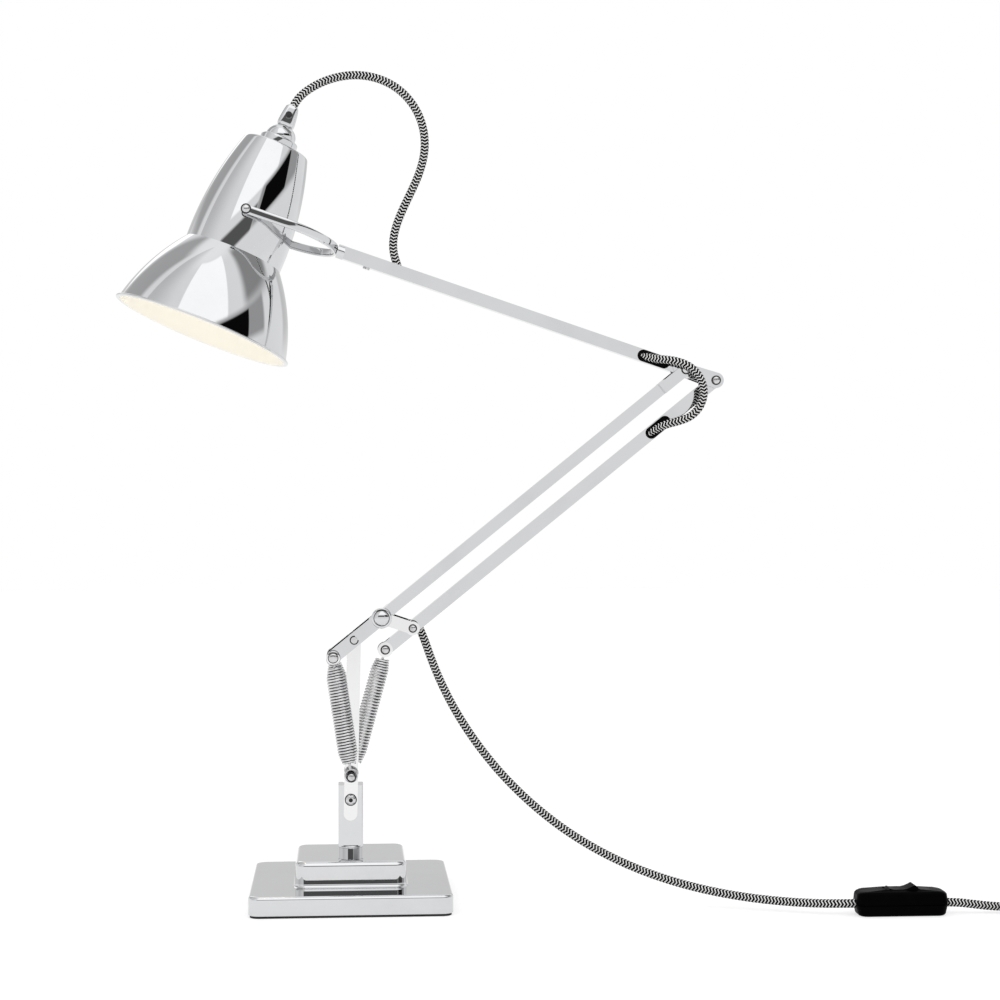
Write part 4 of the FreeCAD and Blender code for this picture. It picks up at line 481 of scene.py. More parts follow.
def arc_through(start: Pair, middle: Pair, end: Pair, count: int) -> np.ndarray:
    """Points of the circle arc through three points of a plane, from the circle's centre and its angles.

    Args:
        start: first point.
        middle: a point on the arc.
        end: last point.
        count: number of points.

    Returns:
        An array of count points.
    """
    a, b, c = (np.asarray(p, float) for p in (start, middle, end))
    rows = 2 * np.array([b - a, c - a])
    centre = np.linalg.solve(rows, [b @ b - a @ a, c @ c - a @ a])
    angles = np.unwrap([math.atan2(*(p - centre)[::-1]) for p in (a, b, c)])
    turn = np.linspace(angles[0], angles[2], count)
    return centre + np.linalg.norm(a - centre) * np.stack([np.cos(turn), np.sin(turn)], axis=1)


def turned_grid(profile: np.ndarray, foot: np.ndarray, axis: np.ndarray, steps: int) -> np.ndarray:
    """Surface of revolution: point = foot + s * axis + r * (cos * e1 + sin * e2).

    Args:
        profile: radius and height of each profile point.
        foot: point where the heights start.
        axis: unit vector of the axis.
        steps: number of steps round the axis.

    Returns:
        A grid of profile points by steps + 1 columns.
    """
    first, second = across(axis)
    turn = np.linspace(0.0, 2.0 * np.pi, steps + 1)
    ring = np.cos(turn)[:, None] * first + np.sin(turn)[:, None] * second
    return foot + profile[:, 1, None, None] * axis + profile[:, 0, None, None] * ring


def dome_profile(radius: float, base: float, height: float, count: int = 12) -> np.ndarray:
    """Profile of half an ellipse, from its full radius at the base to a point at the top."""
    turn = np.linspace(0.0, np.pi / 2.0, count)
    return np.stack([radius * np.cos(turn), base + height * np.sin(turn)], axis=1)


def quarter_profile(start: Pair, radius: float, outward: float, count: int = 9) -> np.ndarray:
    """Half widths and heights of a quarter round, from a level surface into a wall below it.

    Args:
        start: half width and height where the level surface ends.
        radius: radius of the round.
        outward: 1 for an outer edge that turns down, -1 for an inner corner read from the wall to the level.
        count: number of points.

    Returns:
        An array of half width and height.
    """
    turn = np.linspace(0.0, np.pi / 2.0, count)
    if outward > 0:
        return np.stack([start[0] + radius * np.sin(turn), start[1] - radius * (1.0 - np.cos(turn))], axis=1)
    return np.stack([start[0] + radius * (1.0 - np.cos(turn)), start[1] - radius * np.sin(turn)], axis=1)


def box_rings(profile: np.ndarray, steps: int, lead: float = 0.5) -> np.ndarray:
    """Rounded-oblong rings: point = (half - corner) * signs + corner * (cos, sin), with a straight lead.

    Args:
        profile: half length, half width, corner radius and height of each ring.
        steps: steps round each corner.
        lead: straight length kept beside each corner.

    Returns:
        A grid of closed rings.
    """
    quarter = np.linspace(0.0, np.pi / 2.0, steps + 1)
    bend = np.concatenate([quarter[:1], quarter, quarter[-1:]])
    turn = (bend[None, :] + np.pi / 2.0 * np.arange(4)[:, None]).ravel()
    slide = np.tile(np.concatenate([[-1.0], np.zeros(steps + 1), [1.0]]), 4)
    signs = np.repeat([(1.0, 1.0), (-1.0, 1.0), (-1.0, -1.0), (1.0, -1.0)], steps + 3, axis=0)
    long, wide, corner, height = (profile[:, column, None] for column in range(4))
    slip = slide[None, :] * np.minimum(lead, np.minimum(long, wide) / 2.0 - corner / 2.0)
    x = signs[None, :, 0] * (long - corner) + corner * np.cos(turn) - slip * np.sin(turn)
    y = signs[None, :, 1] * (wide - corner) + corner * np.sin(turn) + slip * np.cos(turn)
    rings = np.stack([x, y, np.broadcast_to(height, x.shape)], axis=-1)
    return np.concatenate([rings, rings[:, :1]], axis=1)


def stadium_rings(profile: np.ndarray, ends: np.ndarray, inward: np.ndarray, steps: int) -> np.ndarray:
    """Rings round a line: point = nearer end + offset * (cos * along + sin * across) + depth * inward.

    Args:
        profile: offset from the line and depth of each ring.
        ends: the line's two ends.
        inward: unit vector of the depth.
        steps: steps round each end.

    Returns:
        A grid of closed rings.
    """
    run = unit(ends[1] - ends[0])
    side = np.cross(inward, run)
    half = np.linspace(-np.pi / 2.0, np.pi / 2.0, steps + 1)
    turn = np.concatenate([half, half + np.pi, half[:1]])
    far, near = (np.repeat(end[None, :], steps + 1, axis=0) for end in ends[::-1])
    place = np.concatenate([far, near, ends[1:]])
    ring = np.cos(turn)[:, None] * run + np.sin(turn)[:, None] * side
    return place + profile[:, 0, None, None] * ring + profile[:, 1, None, None] * inward


def line_lengths(path: np.ndarray) -> np.ndarray:
    """Distance along a path at each of its points."""
    steps = np.linalg.norm(np.diff(path, axis=0), axis=1)
    return np.concatenate([[0.0], np.cumsum(steps)])


def tube_grid(path: np.ndarray, radius: float, sides: int, upright: Sequence[float], start: float = 0.0,
              relief: Optional[Relief] = None) -> tuple[np.ndarray, np.ndarray]:
    """Round tube on a path: point = path + r * (cos * side + sin * up), closed by a point at each end.

    Args:
        path: centre line.
        radius: radius of the tube in metres.
        sides: number of sides.
        upright: a direction that the path never runs along.
        start: distance along the cord at the first point, for the UV map.
        relief: factor on the radius from the turn round the tube and the distance along it.

    Returns:
        The grid of points and its UV coordinates.
    """
    tangent = np.gradient(path, axis=0)
    tangent /= np.linalg.norm(tangent, axis=1, keepdims=True)
    side = np.cross(tangent, np.asarray(upright, float))
    side /= np.linalg.norm(side, axis=1, keepdims=True)
    up = np.cross(side, tangent)
    round_share = np.linspace(0.0, 1.0, sides + 1)
    turn = 2.0 * np.pi * round_share
    along = start + line_lengths(path)
    reach = np.full((len(path), sides + 1), radius)
    if relief is not None:
        reach *= relief(round_share[None, :], along[:, None])
    ring = np.cos(turn)[None, :, None] * side[:, None, :] + np.sin(turn)[None, :, None] * up[:, None, :]
    points = path[:, None, :] + reach[..., None] * ring
    ends = [np.repeat(path[i][None, None, :], sides + 1, axis=1) for i in (0, -1)]
    uv = np.stack(np.broadcast_arrays(round_share[None, :], along[:, None]), axis=-1)
    return np.concatenate([ends[0], points, ends[1]]), np.concatenate([uv[:1], uv, uv[-1:]])


class Shell:
    """Grids of points gathered into one welded mesh."""

    def __init__(self) -> None:
        """Start with no surface."""
        self.points: list[np.ndarray] = []
        self.quads: list[np.ndarray] = []
        self.uvs: list[np.ndarray] = []
        self.fills: list[np.ndarray] = []
        self.count = 0

    def grid(self, points: np.ndarray, uv: Optional[np.ndarray] = None, fill: int = 0) -> "Shell":
        """Add a grid of points as quads between neighbours.

        Args:
            points: rows by columns by three coordinates.
            uv: rows by columns by two coordinates, or the grid's own shares.
            fill: index of the material.

        Returns:
            The shell itself.
        """
        rows, columns = points.shape[:2]
        if uv is None:
            shares = np.linspace(0, 1, rows), np.linspace(0, 1, columns)
            uv = np.stack(np.meshgrid(*shares, indexing="ij"), axis=-1)
        index = self.count + np.arange(rows * columns).reshape(rows, columns)
        corners = [index[:-1, :-1], index[:-1, 1:], index[1:, 1:], index[1:, :-1]]
        quads = np.stack(corners, axis=-1).reshape(-1, 4)
        self.points.append(points.reshape(-1, 3))
        self.uvs.append(uv.reshape(-1, 2))
        self.quads.append(quads)
        self.fills.append(np.full(len(quads), fill))
        self.count += rows * columns
        return self

    def piece(self, name: str, materials: Sequence[Material], sharp: float = 38.0) -> Item:
        """Weld the grids into one object with outward faces.

        Args:
            name: name of the piece.
            materials: its materials, in the order of the fills.
            sharp: angle in degrees above which an edge stays sharp.

        Returns:
            The new object, at the origin.
        """
        points, quads = np.concatenate(self.points), np.concatenate(self.quads)
        mesh = bpy.data.meshes.new(name)
        mesh.from_pydata(points, [], quads)
        layer = mesh.uv_layers.new(name="UVMap")
        layer.data.foreach_set("uv", np.concatenate(self.uvs)[quads.ravel()].astype(np.float32).ravel())
        mesh.polygons.foreach_set("material_index", np.concatenate(self.fills).astype(np.int32))
        mesh.polygons.foreach_set("use_smooth", np.ones(len(quads), bool))
        work = bmesh.new()
        work.from_mesh(mesh)
        bmesh.ops.remove_doubles(work, verts=work.verts, dist=WELD)
        bmesh.ops.dissolve_degenerate(work, edges=work.edges, dist=SLIVER)
        bmesh.ops.recalc_face_normals(work, faces=work.faces)
        work.to_mesh(mesh)
        work.free()
        mesh.set_sharp_from_angle(angle=math.radians(sharp))
        for material in materials:
            mesh.materials.append(material)
        item = bpy.data.objects.new(name, mesh)
        bpy.context.scene.collection.objects.link(item)
        return item


def settle(item: Item, replaced: Sequence[str], body: Optional[Body] = None,
           bodies: Optional[tuple[Body, Body]] = None, span: Optional[tuple[Point, Point]] = None) -> Item:
    """Tie a piece to the frame: hide the nodes it stands for, and carry it on its one body or, given two
    bodies and a span, bake its place into its mesh.

    Args:
        item: the finished piece.
        replaced: CAD nodes that it stands for.
        body: the one body that it rides on.
        bodies: the two bodies that it lies between; only whether they are given is read.
        span: points in millimetres where the bend would start and end; only whether it is given is read.

    Returns:
        The piece.
    """
    if bodies is not None and span is not None:
        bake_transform(item)
    else:
        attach(item, body.value)
    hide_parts(*replaced)
    LOG.info("piece %s stands for %s", item.name, ", ".join(replaced))
    return item


# Cords


def route_line(name: str, route: Sequence[Point]) -> np.ndarray:
    """Read the smooth line of a NURBS spline whose control points are a cord's route.

    Args:
        name: name of the working curve.
        route: control points in millimetres.

    Returns:
        Points of the line in metres.
    """
    curve = bpy.data.curves.new(name, "CURVE")
    curve.dimensions = "3D"
    curve.resolution_u = 14
    spline = curve.splines.new("NURBS")
    spline.points.add(len(route) - 1)
    control = np.concatenate([np.asarray(route) * MM, np.ones((len(route), 1))], axis=1)
    spline.points.foreach_set("co", control.astype(np.float32).ravel())
    spline.order_u = 3
    spline.use_endpoint_u = True
    holder = bpy.data.objects.new(name, curve)
    bpy.context.scene.collection.objects.link(holder)
    bpy.context.view_layer.update()
    mesh = bpy.data.meshes.new_from_object(holder)
    line = np.empty(len(mesh.vertices) * 3, np.float32)
    mesh.vertices.foreach_get("co", line)
    bpy.data.objects.remove(holder)
    bpy.data.curves.remove(curve)
    bpy.data.meshes.remove(mesh)
    return line.reshape(-1, 3).astype(float)


@dataclass
class Cord:
    """Braided cord on one route, cut into pieces where it passes from joint to joint."""

    name: str
    route: list[Point]
    upright: Point = (0.0, 1.0, 0.0)
    diameter: float = 7.6
    sides: int = 24
    strand_pitch: float = 6.6
    strands: float = 6.0
    strand_relief: float = 0.02

    def __post_init__(self) -> None:
        """Read the cord's line from its route."""
        self.line = route_line(self.name, self.route)
        self.lengths = line_lengths(self.line)

    def braid(self, turn: np.ndarray, along: np.ndarray) -> np.ndarray:
        """Radius factor of two crossing sets of strands: one plus a small product of slanting waves."""
        pitch = along / (self.strand_pitch * MM)
        first = np.sin(2.0 * np.pi * (self.strands * turn + pitch))
        second = np.sin(2.0 * np.pi * (self.strands * turn - pitch))
        return 1.0 - self.strand_relief / 2.0 + self.strand_relief / 2.0 * first * second

    def stretch(self, suffix: str, low: float = 0.0, high: float = math.inf) -> tuple[Item, np.ndarray]:
        """Make the part of the cord between two distances along it.

        Args:
            suffix: end of the piece's name.
            low: distance in millimetres where it starts.
            high: distance in millimetres where it ends.

        Returns:
            The piece and its centre line.
        """
        first, last = np.searchsorted(self.lengths, (low * MM, high * MM))
        part = self.line[first:last + 1]
        radius = self.diameter / 2 * MM
        points, uv = tube_grid(part, radius, self.sides, self.upright, self.lengths[first], self.braid)
        return Shell().grid(points, uv).piece(self.name + suffix, [MATERIALS[Slot.CORD]], sharp=80.0), part


@dataclass
class CoilPlan:
    """Tied coil of the spare lead: two layers of half turns, wound inwards and back outwards."""

    centre: Pair = (624.0, -157.0)
    outer: float = 48.8
    step: float = 4.25
    halves: int = 5
    low: float = 4.7
    high: float = 12.5
    lead_out: float = 30.0
    points_per_half: int = 8
    lead_marks: tuple[float, ...] = (0.1, 0.55, 1.0)

    def points(self) -> list[Point]:
        """Control points of the turns: half circles about shifting centres, drawn out to the cord's radius.

        Returns:
            Points in millimetres, from the outside of the lower layer to the lead-out.
        """
        inward = self.outer - self.step * np.arange(self.halves + 1)
        radii = np.concatenate([inward, inward[:0:-1]])
        heights = np.concatenate([np.full(self.halves + 1, self.low), np.full(self.halves, self.high)])
        number = np.arange(len(radii) - 1)
        side = np.where(number % 2 == 0, 1.0, -1.0)[:, None]
        turn = np.pi * np.arange(self.points_per_half)[None, :] / self.points_per_half
        # A quadratic spline runs inside its control points by this share of their radius
        draw = 0.75 + 0.25 * math.cos(math.pi / self.points_per_half)
        mean = (radii[:-1] + radii[1:])[:, None] / 2 / draw
        shift = (radii[:-1] - radii[1:])[:, None] / 2
        x = side * mean * np.sin(turn)
        y = side * (shift + mean * np.cos(turn))
        z = heights[:-1, None] + np.diff(heights)[:, None] * (1.0 - np.cos(turn)) / 2
        turns = np.stack([x, y, z], axis=-1).reshape(-1, 3)
        leads = np.array([[share * self.lead_out, radii[-1], self.high] for share in self.lead_marks])
        return [tuple(p) for p in np.concatenate([turns, leads]) + (*self.centre, 0.0)]


@dataclass
class CordRun:
    """All the cords of the lamp, with the joints that each one crosses."""

    switch: list[Item]
    lead_cuts: Pair = (70.0, 125.0)
    shade_cut: float = 121.0

    def build_shade_cord(self) -> None:
        """Cord that arches from the clamp on the shade down into the upper arm."""
        cord = Cord("shade_cord", [
            (-55.6, 7.7, 718.0), (-51.5, 8.5, 728.4), (-44.0, 8.5, 737.4), (-33.7, 8.0, 744.6),
            (-21.1, 7.4, 750.5), (-6.9, 6.9, 754.2), (7.8, 6.4, 755.2), (22.5, 6.0, 753.0),
            (36.0, 5.5, 747.7), (47.9, 5.2, 739.4), (57.4, 4.8, 728.4), (64.2, 4.4, 715.5),
            (67.7, 4.0, 701.5), (68.2, 3.6, 687.1), (65.5, 3.2, 672.6), (60.5, 2.8, 658.6),
            (54.0, 2.4, 644.7), (47.4, 2.0, 630.9), (41.8, 1.5, 616.9), (38.6, 1.1, 602.8),
            (39.3, 0.6, 588.6), (44.6, 0.0, 574.7)])
        item, part = cord.stretch("_arch", 0.0, self.shade_cut)
        settle(item, ["shade_cord"], bodies=(Body.SHADE, Body.FORK),
               span=((-55.2, 7.7, 718.6), (-13.5, 5.8, 778.1)))
        item, part = cord.stretch("_drop", self.shade_cut)
        settle(item, ["shade_cord"], bodies=(Body.FORK, Body.UPPER_ARM),
               span=((40.8, 3.5, 707.3), (19.5, -2.7, 586.4)))

    def build_elbow_cord(self) -> None:
        """Cord that loops round the elbow from the upper arm's slot to the parallel bar's slot."""
        cord = Cord("elbow_cord", [
            (251.4, 0.7, 504.0), (265.1, 0.3, 499.4), (276.1, -4.4, 495.9), (285.0, -10.8, 494.3),
            (293.9, -15.5, 493.3), (303.1, -18.4, 490.9), (311.2, -20.0, 486.6), (317.6, -20.7, 480.2),
            (321.7, -21.0, 472.2), (323.2, -21.0, 463.5), (321.6, -20.8, 454.9), (317.4, -20.2, 447.2),
            (310.6, -18.7, 441.0), (301.4, -16.0, 437.3), (291.0, -11.5, 434.9), (282.5, -4.6, 431.0),
            (274.0, -0.2, 424.8), (264.9, 0.7, 417.0)])
        item, part = cord.stretch("_loop")
        settle(item, ["elbow_cord"], bodies=(Body.UPPER_ARM, Body.BAR),
               span=((320.0, -20.0, 490.0), (320.0, -20.0, 438.0)))

    def build_lead(self) -> None:
        """Lead that hangs from the parallel bar to the floor and goes through the switch to the tied coil."""
        lead = Cord("lead", [
            (61.5, 0.0, 250.5), (66.9, -0.6, 238.6), (73.6, -2.9, 218.8), (83.4, -6.4, 195.0),
            (97.3, -10.7, 168.5), (115.7, -15.7, 140.7), (138.4, -21.4, 113.1), (165.4, -27.8, 87.0),
            (196.4, -35.0, 63.3), (231.3, -43.4, 43.2), (269.3, -53.3, 27.6), (309.1, -64.8, 16.9),
            (348.2, -77.6, 10.9), (384.0, -90.6, 8.7), (412.0, -101.8, 8.9), (434.0, -109.0, 10.0),
            (451.0, -109.0, 10.0)])
        first, second = self.lead_cuts
        item, part = lead.stretch("_top", 0.0, first)
        settle(item, ["hanging_lead"], bodies=(Body.LINK, Body.LOWER_ARM),
               span=((64.0, -0.2, 250.0), (98.1, -13.4, 198.6)))
        item, part = lead.stretch("_drop", first, second)
        settle(item, ["hanging_lead"], bodies=(Body.LOWER_ARM, Body.SWIVEL),
               span=((87.9, -7.8, 186.7), (114.9, -13.7, 144.6)))
        item, part = lead.stretch("_floor", second)
        settle(item, ["hanging_lead"], bodies=(Body.SWIVEL, Body.BASE),
               span=((117.9, -22.8, 139.2), (183.3, -199.4, 68.0)))
        tail = Cord("tail", [
            (515.0, -109.0, 10.0), (532.0, -109.0, 10.0), (549.0, -109.4, 7.9), (565.0, -109.4, 5.9),
            (582.0, -108.6, 4.9), (599.9, -107.9, 4.7), (612.0, -107.2, 4.7), *CoilPlan().points()],
            upright=(0.0, 0.0, 1.0), sides=20)
        item, part = tail.stretch("_coil")
        settle(item, ["lead_tail", "lead_coil"], Body.BASE)

    def build(self) -> None:
        """Make every cord."""
        self.build_shade_cord()
        self.build_elbow_cord()
        self.build_lead()


# Springs


@dataclass
class Spring:
    """Coil spring with coned, close-wound ends between two pivots."""

    name: str
    foot: Point
    top: Point
    outer: float
    turns: float = 34.0
    wire: float = 2.3
    end_outer: float = 13.0
    cone_turns: float = 4.0
    cone_pitch: float = 2.35
    foot_room: float = 12.5
    top_room: float = 9.5
    steps_per_turn: int = 24
    sides: int = 10

    def path(self) -> np.ndarray:
        """Helix about the line between the pivots, with radius and height straight functions of the turn.

        Returns:
            Points of the wire's centre line in metres.
        """
        foot, top = np.asarray(self.foot), np.asarray(self.top)
        axis = unit(top - foot)
        length = np.linalg.norm(top - foot) - self.foot_room - self.top_room
        marks = (0.0, self.cone_turns, self.turns - self.cone_turns, self.turns)
        rise = self.cone_turns * self.cone_pitch
        narrow, wide = (self.end_outer - self.wire) / 2, (self.outer - self.wire) / 2
        turn = np.linspace(0.0, self.turns, int(self.turns * self.steps_per_turn) + 1)
        height = self.foot_room + np.interp(turn, marks, (0.0, rise, length - rise, length))
        radius = np.interp(turn, marks, (narrow, wide, wide, narrow))
        first, second = across(axis)
        angle = 2.0 * np.pi * turn[:, None]
        spiral = radius[:, None] * (np.cos(angle) * first + np.sin(angle) * second)
        return (foot + height[:, None] * axis + spiral) * MM

    def stretch(self, suffix: str, low: float, high: float) -> Item:
        """Make the wire between two shares of the spring's turns."""
        path = self.path()
        part = path[int(low * (len(path) - 1)):int(high * (len(path) - 1)) + 1]
        axis = np.asarray(self.top) - np.asarray(self.foot)
        points, uv = tube_grid(part, self.wire / 2 * MM, self.sides, unit(axis))
        return Shell().grid(points, uv).piece(self.name + suffix, [MATERIALS[Slot.SPRING]], sharp=60.0)


@dataclass
class SpringSet:
    """Two outer springs to the arm's tail and the middle spring to the bar's tail."""

    anchor: Pair = SPRING_ANCHOR
    arm_tail: Pair = ARM_TAIL
    bar_tail: Pair = BAR_TAIL
    outer_offset: float = 20.85
    outer_dia: float = 18.3
    middle_dia: float = 17.0
    middle_turns: float = 36.0

    def build(self) -> None:
        """Make the springs between their pivots."""
        for name, y in (("outer_spring_front", -self.outer_offset), ("outer_spring_back", self.outer_offset)):
            foot = (self.anchor[0], y, self.anchor[1])
            top = (self.arm_tail[0], y, self.arm_tail[1])
            item = Spring(name, foot, top, self.outer_dia).stretch("_wire", 0.0, 1.0)
            settle(item, [name], bodies=(Body.SWIVEL, Body.OUTER_TOPS), span=(foot, top))
        foot = (self.anchor[0], 0.0, self.anchor[1])
        top = (self.bar_tail[0], 0.0, self.bar_tail[1])
        middle = tuple((a + b) / 2 for a, b in zip(foot, top))
        spring = Spring("middle_spring", foot, top, self.middle_dia, self.middle_turns)
        settle(spring.stretch("_foot", 0.0, 0.5), ["middle_spring"],
               bodies=(Body.SWIVEL, Body.MIDDLE_MID), span=(foot, middle))
        settle(spring.stretch("_head", 0.5, 1.0), ["middle_spring"],
               bodies=(Body.MIDDLE_MID, Body.MIDDLE_TOP), span=(middle, top))


# Shade


@dataclass
class Shade:
    """Spun bell shade: chromed outside, cream enamel inside."""

    pivot: Point = (-94.08, 0.0, 620.29)
    axis: Point = (0.3656, 0.0731, 0.9279)
    front: Point = FORK_FRONT
    pivot_height: float = 110.6
    steps: int = 160
    rim: Arc = ((82.0, 0.0), (83.0, 1.0), (82.0, 2.0))
    bell: Arc = ((80.3, 2.0), (67.8, 39.0), (45.2, 76.0))
    body: Arc = ((45.2, 76.0), (42.0, 134.0), (30.9, 181.3))
    crown: Arc = ((30.9, 181.3), (30.1, 182.2), (29.0, 182.5))
    inner_body: Arc = ((28.2, 181.3), (40.8, 134.0), (44.0, 76.0))
    inner_bell: Arc = ((44.0, 76.0), (66.6, 39.0), (79.1, 0.0))
    hole: float = 10.2
    ring_foot: Arc = ((16.9, 182.65), (17.32, 182.83), (17.5, 183.25))
    ring_head: Arc = ((17.5, 189.4), (17.0, 190.9), (15.6, 191.6))
    ring_floor: float = 190.5
    seam: Arc = ((14.6, 191.65), (14.2, 191.0), (13.5, 191.0))
    dome: Arc = ((13.5, 191.0), (11.8, 199.45), (6.5, 203.65))
    clamp_half: Pair = (8.5, 6.5)
    clamp_taper: float = 2.5
    clamp_high: float = 20.0
    clamp_rings: int = 14
    clamp_soft: float = 0.18
    clamp_round: float = 0.6
    clamp_close: float = 0.02

    def build(self) -> None:
        """Turn the outer and the inner profile about the axis and weld them at the rim and the hole."""
        axis = unit(self.axis)
        foot = np.asarray(self.pivot) - self.pivot_height * axis
        rim, bell = arc_through(*self.rim, count=13), arc_through(*self.bell, count=60)
        body, crown = arc_through(*self.body, count=70), arc_through(*self.crown, count=7)
        hole = [(self.hole, self.crown[-1][1]), (self.hole, self.inner_body[0][1])]
        outside = np.concatenate([self.inner_bell[-1:], rim, bell, body[1:], crown[1:], hole])
        inner_body, inner_bell = (arc_through(*arc, count=60) for arc in (self.inner_body, self.inner_bell))
        inside = np.concatenate([hole[-1:], inner_body, inner_bell[1:]])
        shell = Shell()
        shell.grid(turned_grid(outside, foot, axis, steps=self.steps) * MM)
        shell.grid(turned_grid(inside, foot, axis, steps=self.steps) * MM, fill=1)
        item = shell.piece("bell_shade", [MATERIALS[Slot.CHROME], ENAMEL_MATERIAL], sharp=30.0)
        settle(item, ["shade_shell"], Body.SHADE)
        self.build_cap(foot, axis)
        self.build_clamp(foot, axis)

    def build_cap(self, foot: np.ndarray, axis: np.ndarray) -> None:
        """Turn the cap over the lampholder: a rounded ring, a seam of painted shade and a dome."""
        bore = [(0.0, self.ring_floor), (self.hole, self.ring_floor), (self.hole, self.ring_foot[0][1])]
        low, high = arc_through(*self.ring_foot, count=5), arc_through(*self.ring_head, count=9)
        ring = np.concatenate([bore, low, high, self.seam[:1]])
        dome = np.concatenate([arc_through(*self.dome, count=18), [(0.0, self.dome[-1][1])]])
        shell = Shell()
        # The seam takes the near-black finish as painted shade between ring and dome
        for profile, fill in ((ring, 0), (np.array(self.seam), 1), (dome, 0)):
            shell.grid(turned_grid(profile, foot, axis, steps=64) * MM, fill=fill)
        item = shell.piece("domed_cap", [MATERIALS[Slot.CHROME], NEAR_BLACK_AND_SHADE_MATERIAL], sharp=40.0)
        settle(item, ["holder_cap"], Body.SHADE)

    def build_clamp(self, foot: np.ndarray, axis: np.ndarray) -> None:
        """Stretch the tapering cord clamp over rounded rings, with soft edges at its foot and head."""
        front = unit(self.front)
        share = np.concatenate([[0.0], np.linspace(0.0, 1.0, self.clamp_rings), [1.0]])
        soft = np.concatenate([[0.0], np.sin(np.linspace(0.0, np.pi, self.clamp_rings)) ** 0.25, [0.0]])
        swell = 1.0 - self.clamp_soft + self.clamp_soft * soft
        swell[[0, -1]] *= self.clamp_close
        wide = (self.clamp_half[0] - self.clamp_taper * share) * swell
        deep = self.clamp_half[1] * swell
        height = self.dome[-1][1] + self.clamp_high * share
        profile = np.column_stack([wide, deep, self.clamp_round * np.minimum(wide, deep), height])
        local = box_rings(profile, steps=8)
        grid = foot + local @ np.stack([np.cross(front, axis), front, axis])
        item = Shell().grid(grid * MM).piece("rounded_clamp", [MATERIALS[Slot.CHROME]], sharp=60.0)
        settle(item, ["cord_clamp"], Body.SHADE)


@dataclass
class Fork:
    """Wishbone strip that spans the shade, with the screws that the shade tilts on."""

    foot: Point = (ARM_END[0], 0.0, ARM_END[1])
    along: Point = ARM_LINE
    front: Point = FORK_FRONT
    up: Point = (0.3181, 0.0732, 0.9452)
    bend: float = 418.5
    tip: float = 458.5
    pivot: float = 454.5
    half_spread: float = 49.0
    half_thick: float = 1.5
    half_high: float = 4.0
    squareness: float = 0.55
    sides: int = 36
    leg_marks: Pair = (12.0, 26.0)
    tip_share: float = 0.03
    screw: float = 2.0
    nut: Band = (3.6, 39.9, 42.6)
    spacer: Band = (4.2, 44.7, 47.2)
    seat: float = 50.65
    ring: Pair = (4.6, 51.3)
    dome: Pair = (3.6, 1.55)

    def centre_line(self) -> tuple[np.ndarray, np.ndarray, np.ndarray]:
        """Middle of the strip: a leg, a half circle and a leg.

        Returns:
            Points in the fork's plane, the strip's in-plane normals and the share of its full height.
        """
        swing = np.linspace(0.0, np.pi / 2.0, 12)
        back = np.concatenate([self.half_high * (1.0 - np.cos(swing)), self.leg_marks])
        reach = self.tip - back
        share = np.concatenate([np.maximum(np.sin(swing), self.tip_share), [1.0, 1.0]])
        turn = np.linspace(np.pi / 2.0, 3.0 * np.pi / 2.0, 61)
        arc = np.stack([self.bend + self.half_spread * np.cos(turn), self.half_spread * np.sin(turn)], axis=1)
        legs = np.stack([reach, np.full_like(reach, self.half_spread)], axis=1)
        points = np.concatenate([legs, arc, legs[::-1] * (1.0, -1.0)])
        level = np.tile((0.0, 1.0), (len(legs), 1))
        normals = np.concatenate([level, np.stack([np.cos(turn), np.sin(turn)], axis=1), -level])
        return points, normals, np.concatenate([share, np.ones(len(turn)), share[::-1]])

    def build_strip(self) -> None:
        """Sweep a rounded oblong: point = line + cos^k * thickness * normal + sin^k * height * up."""
        along, front, up = (np.asarray(axis) for axis in (self.along, self.front, self.up))
        points, normals, share = self.centre_line()
        turn = np.linspace(0.0, 2.0 * np.pi, self.sides + 1)
        thick = np.sign(np.cos(turn)) * np.abs(np.cos(turn)) ** self.squareness * self.half_thick
        high = np.sign(np.sin(turn)) * np.abs(np.sin(turn)) ** self.squareness * self.half_high
        flat = np.stack([along, front])
        line, side = np.asarray(self.foot) + points @ flat, normals @ flat
        rise = (share[:, None] * high[None, :])[..., None] * up
        grid = line[:, None, :] + thick[None, :, None] * side[:, None, :] + rise
        caps = [np.repeat(line[i][None, None, :], self.sides + 1, axis=1) for i in (0, -1)]
        item = Shell().grid(np.concatenate([caps[0], grid, caps[1]]) * MM).piece(
            "wishbone_strip", [MATERIALS[Slot.CHROME]], sharp=50.0)
        settle(item, ["shade_fork"], Body.FORK)

    def build_screws(self) -> None:
        """Turn the two pivot screws with their spacers, inner nuts and domed heads on rings of painted shade.
        """
        foot = np.asarray(self.foot) + self.pivot * np.asarray(self.along)
        nut, nut_low, nut_high = self.nut
        spacer, spacer_low, spacer_high = self.spacer
        wide, top = self.ring
        shank = np.array([
            (0.0, nut_low), (nut, nut_low), (nut, nut_high), (self.screw, nut_high), (self.screw, spacer_low),
            (spacer, spacer_low), (spacer, spacer_high), (self.screw, spacer_high), (self.screw, self.seat)])
        ring = np.array([(self.screw, self.seat), (wide, self.seat), (wide, top), (self.dome[0], top)])
        shell = Shell()
        for sign in (1.0, -1.0):
            axis = sign * unit(self.front)
            # The ring under each head takes the near-black finish as painted shade
            for fill, profile in enumerate((shank, ring)):
                shell.grid(turned_grid(profile, foot, axis, steps=40) * MM, fill=fill)
            shell.grid(turned_grid(dome_profile(self.dome[0], top, self.dome[1]), foot, axis, steps=40) * MM)
        item = shell.piece("pivot_screws", [MATERIALS[Slot.STEEL], NEAR_BLACK_AND_SHADE_MATERIAL], sharp=40.0)
        settle(item, ["shade_pivot_screws"], Body.SHADE)

    def build(self) -> None:
        """Make the strip and its screws."""
        self.build_strip()
        self.build_screws()


# Inline switch


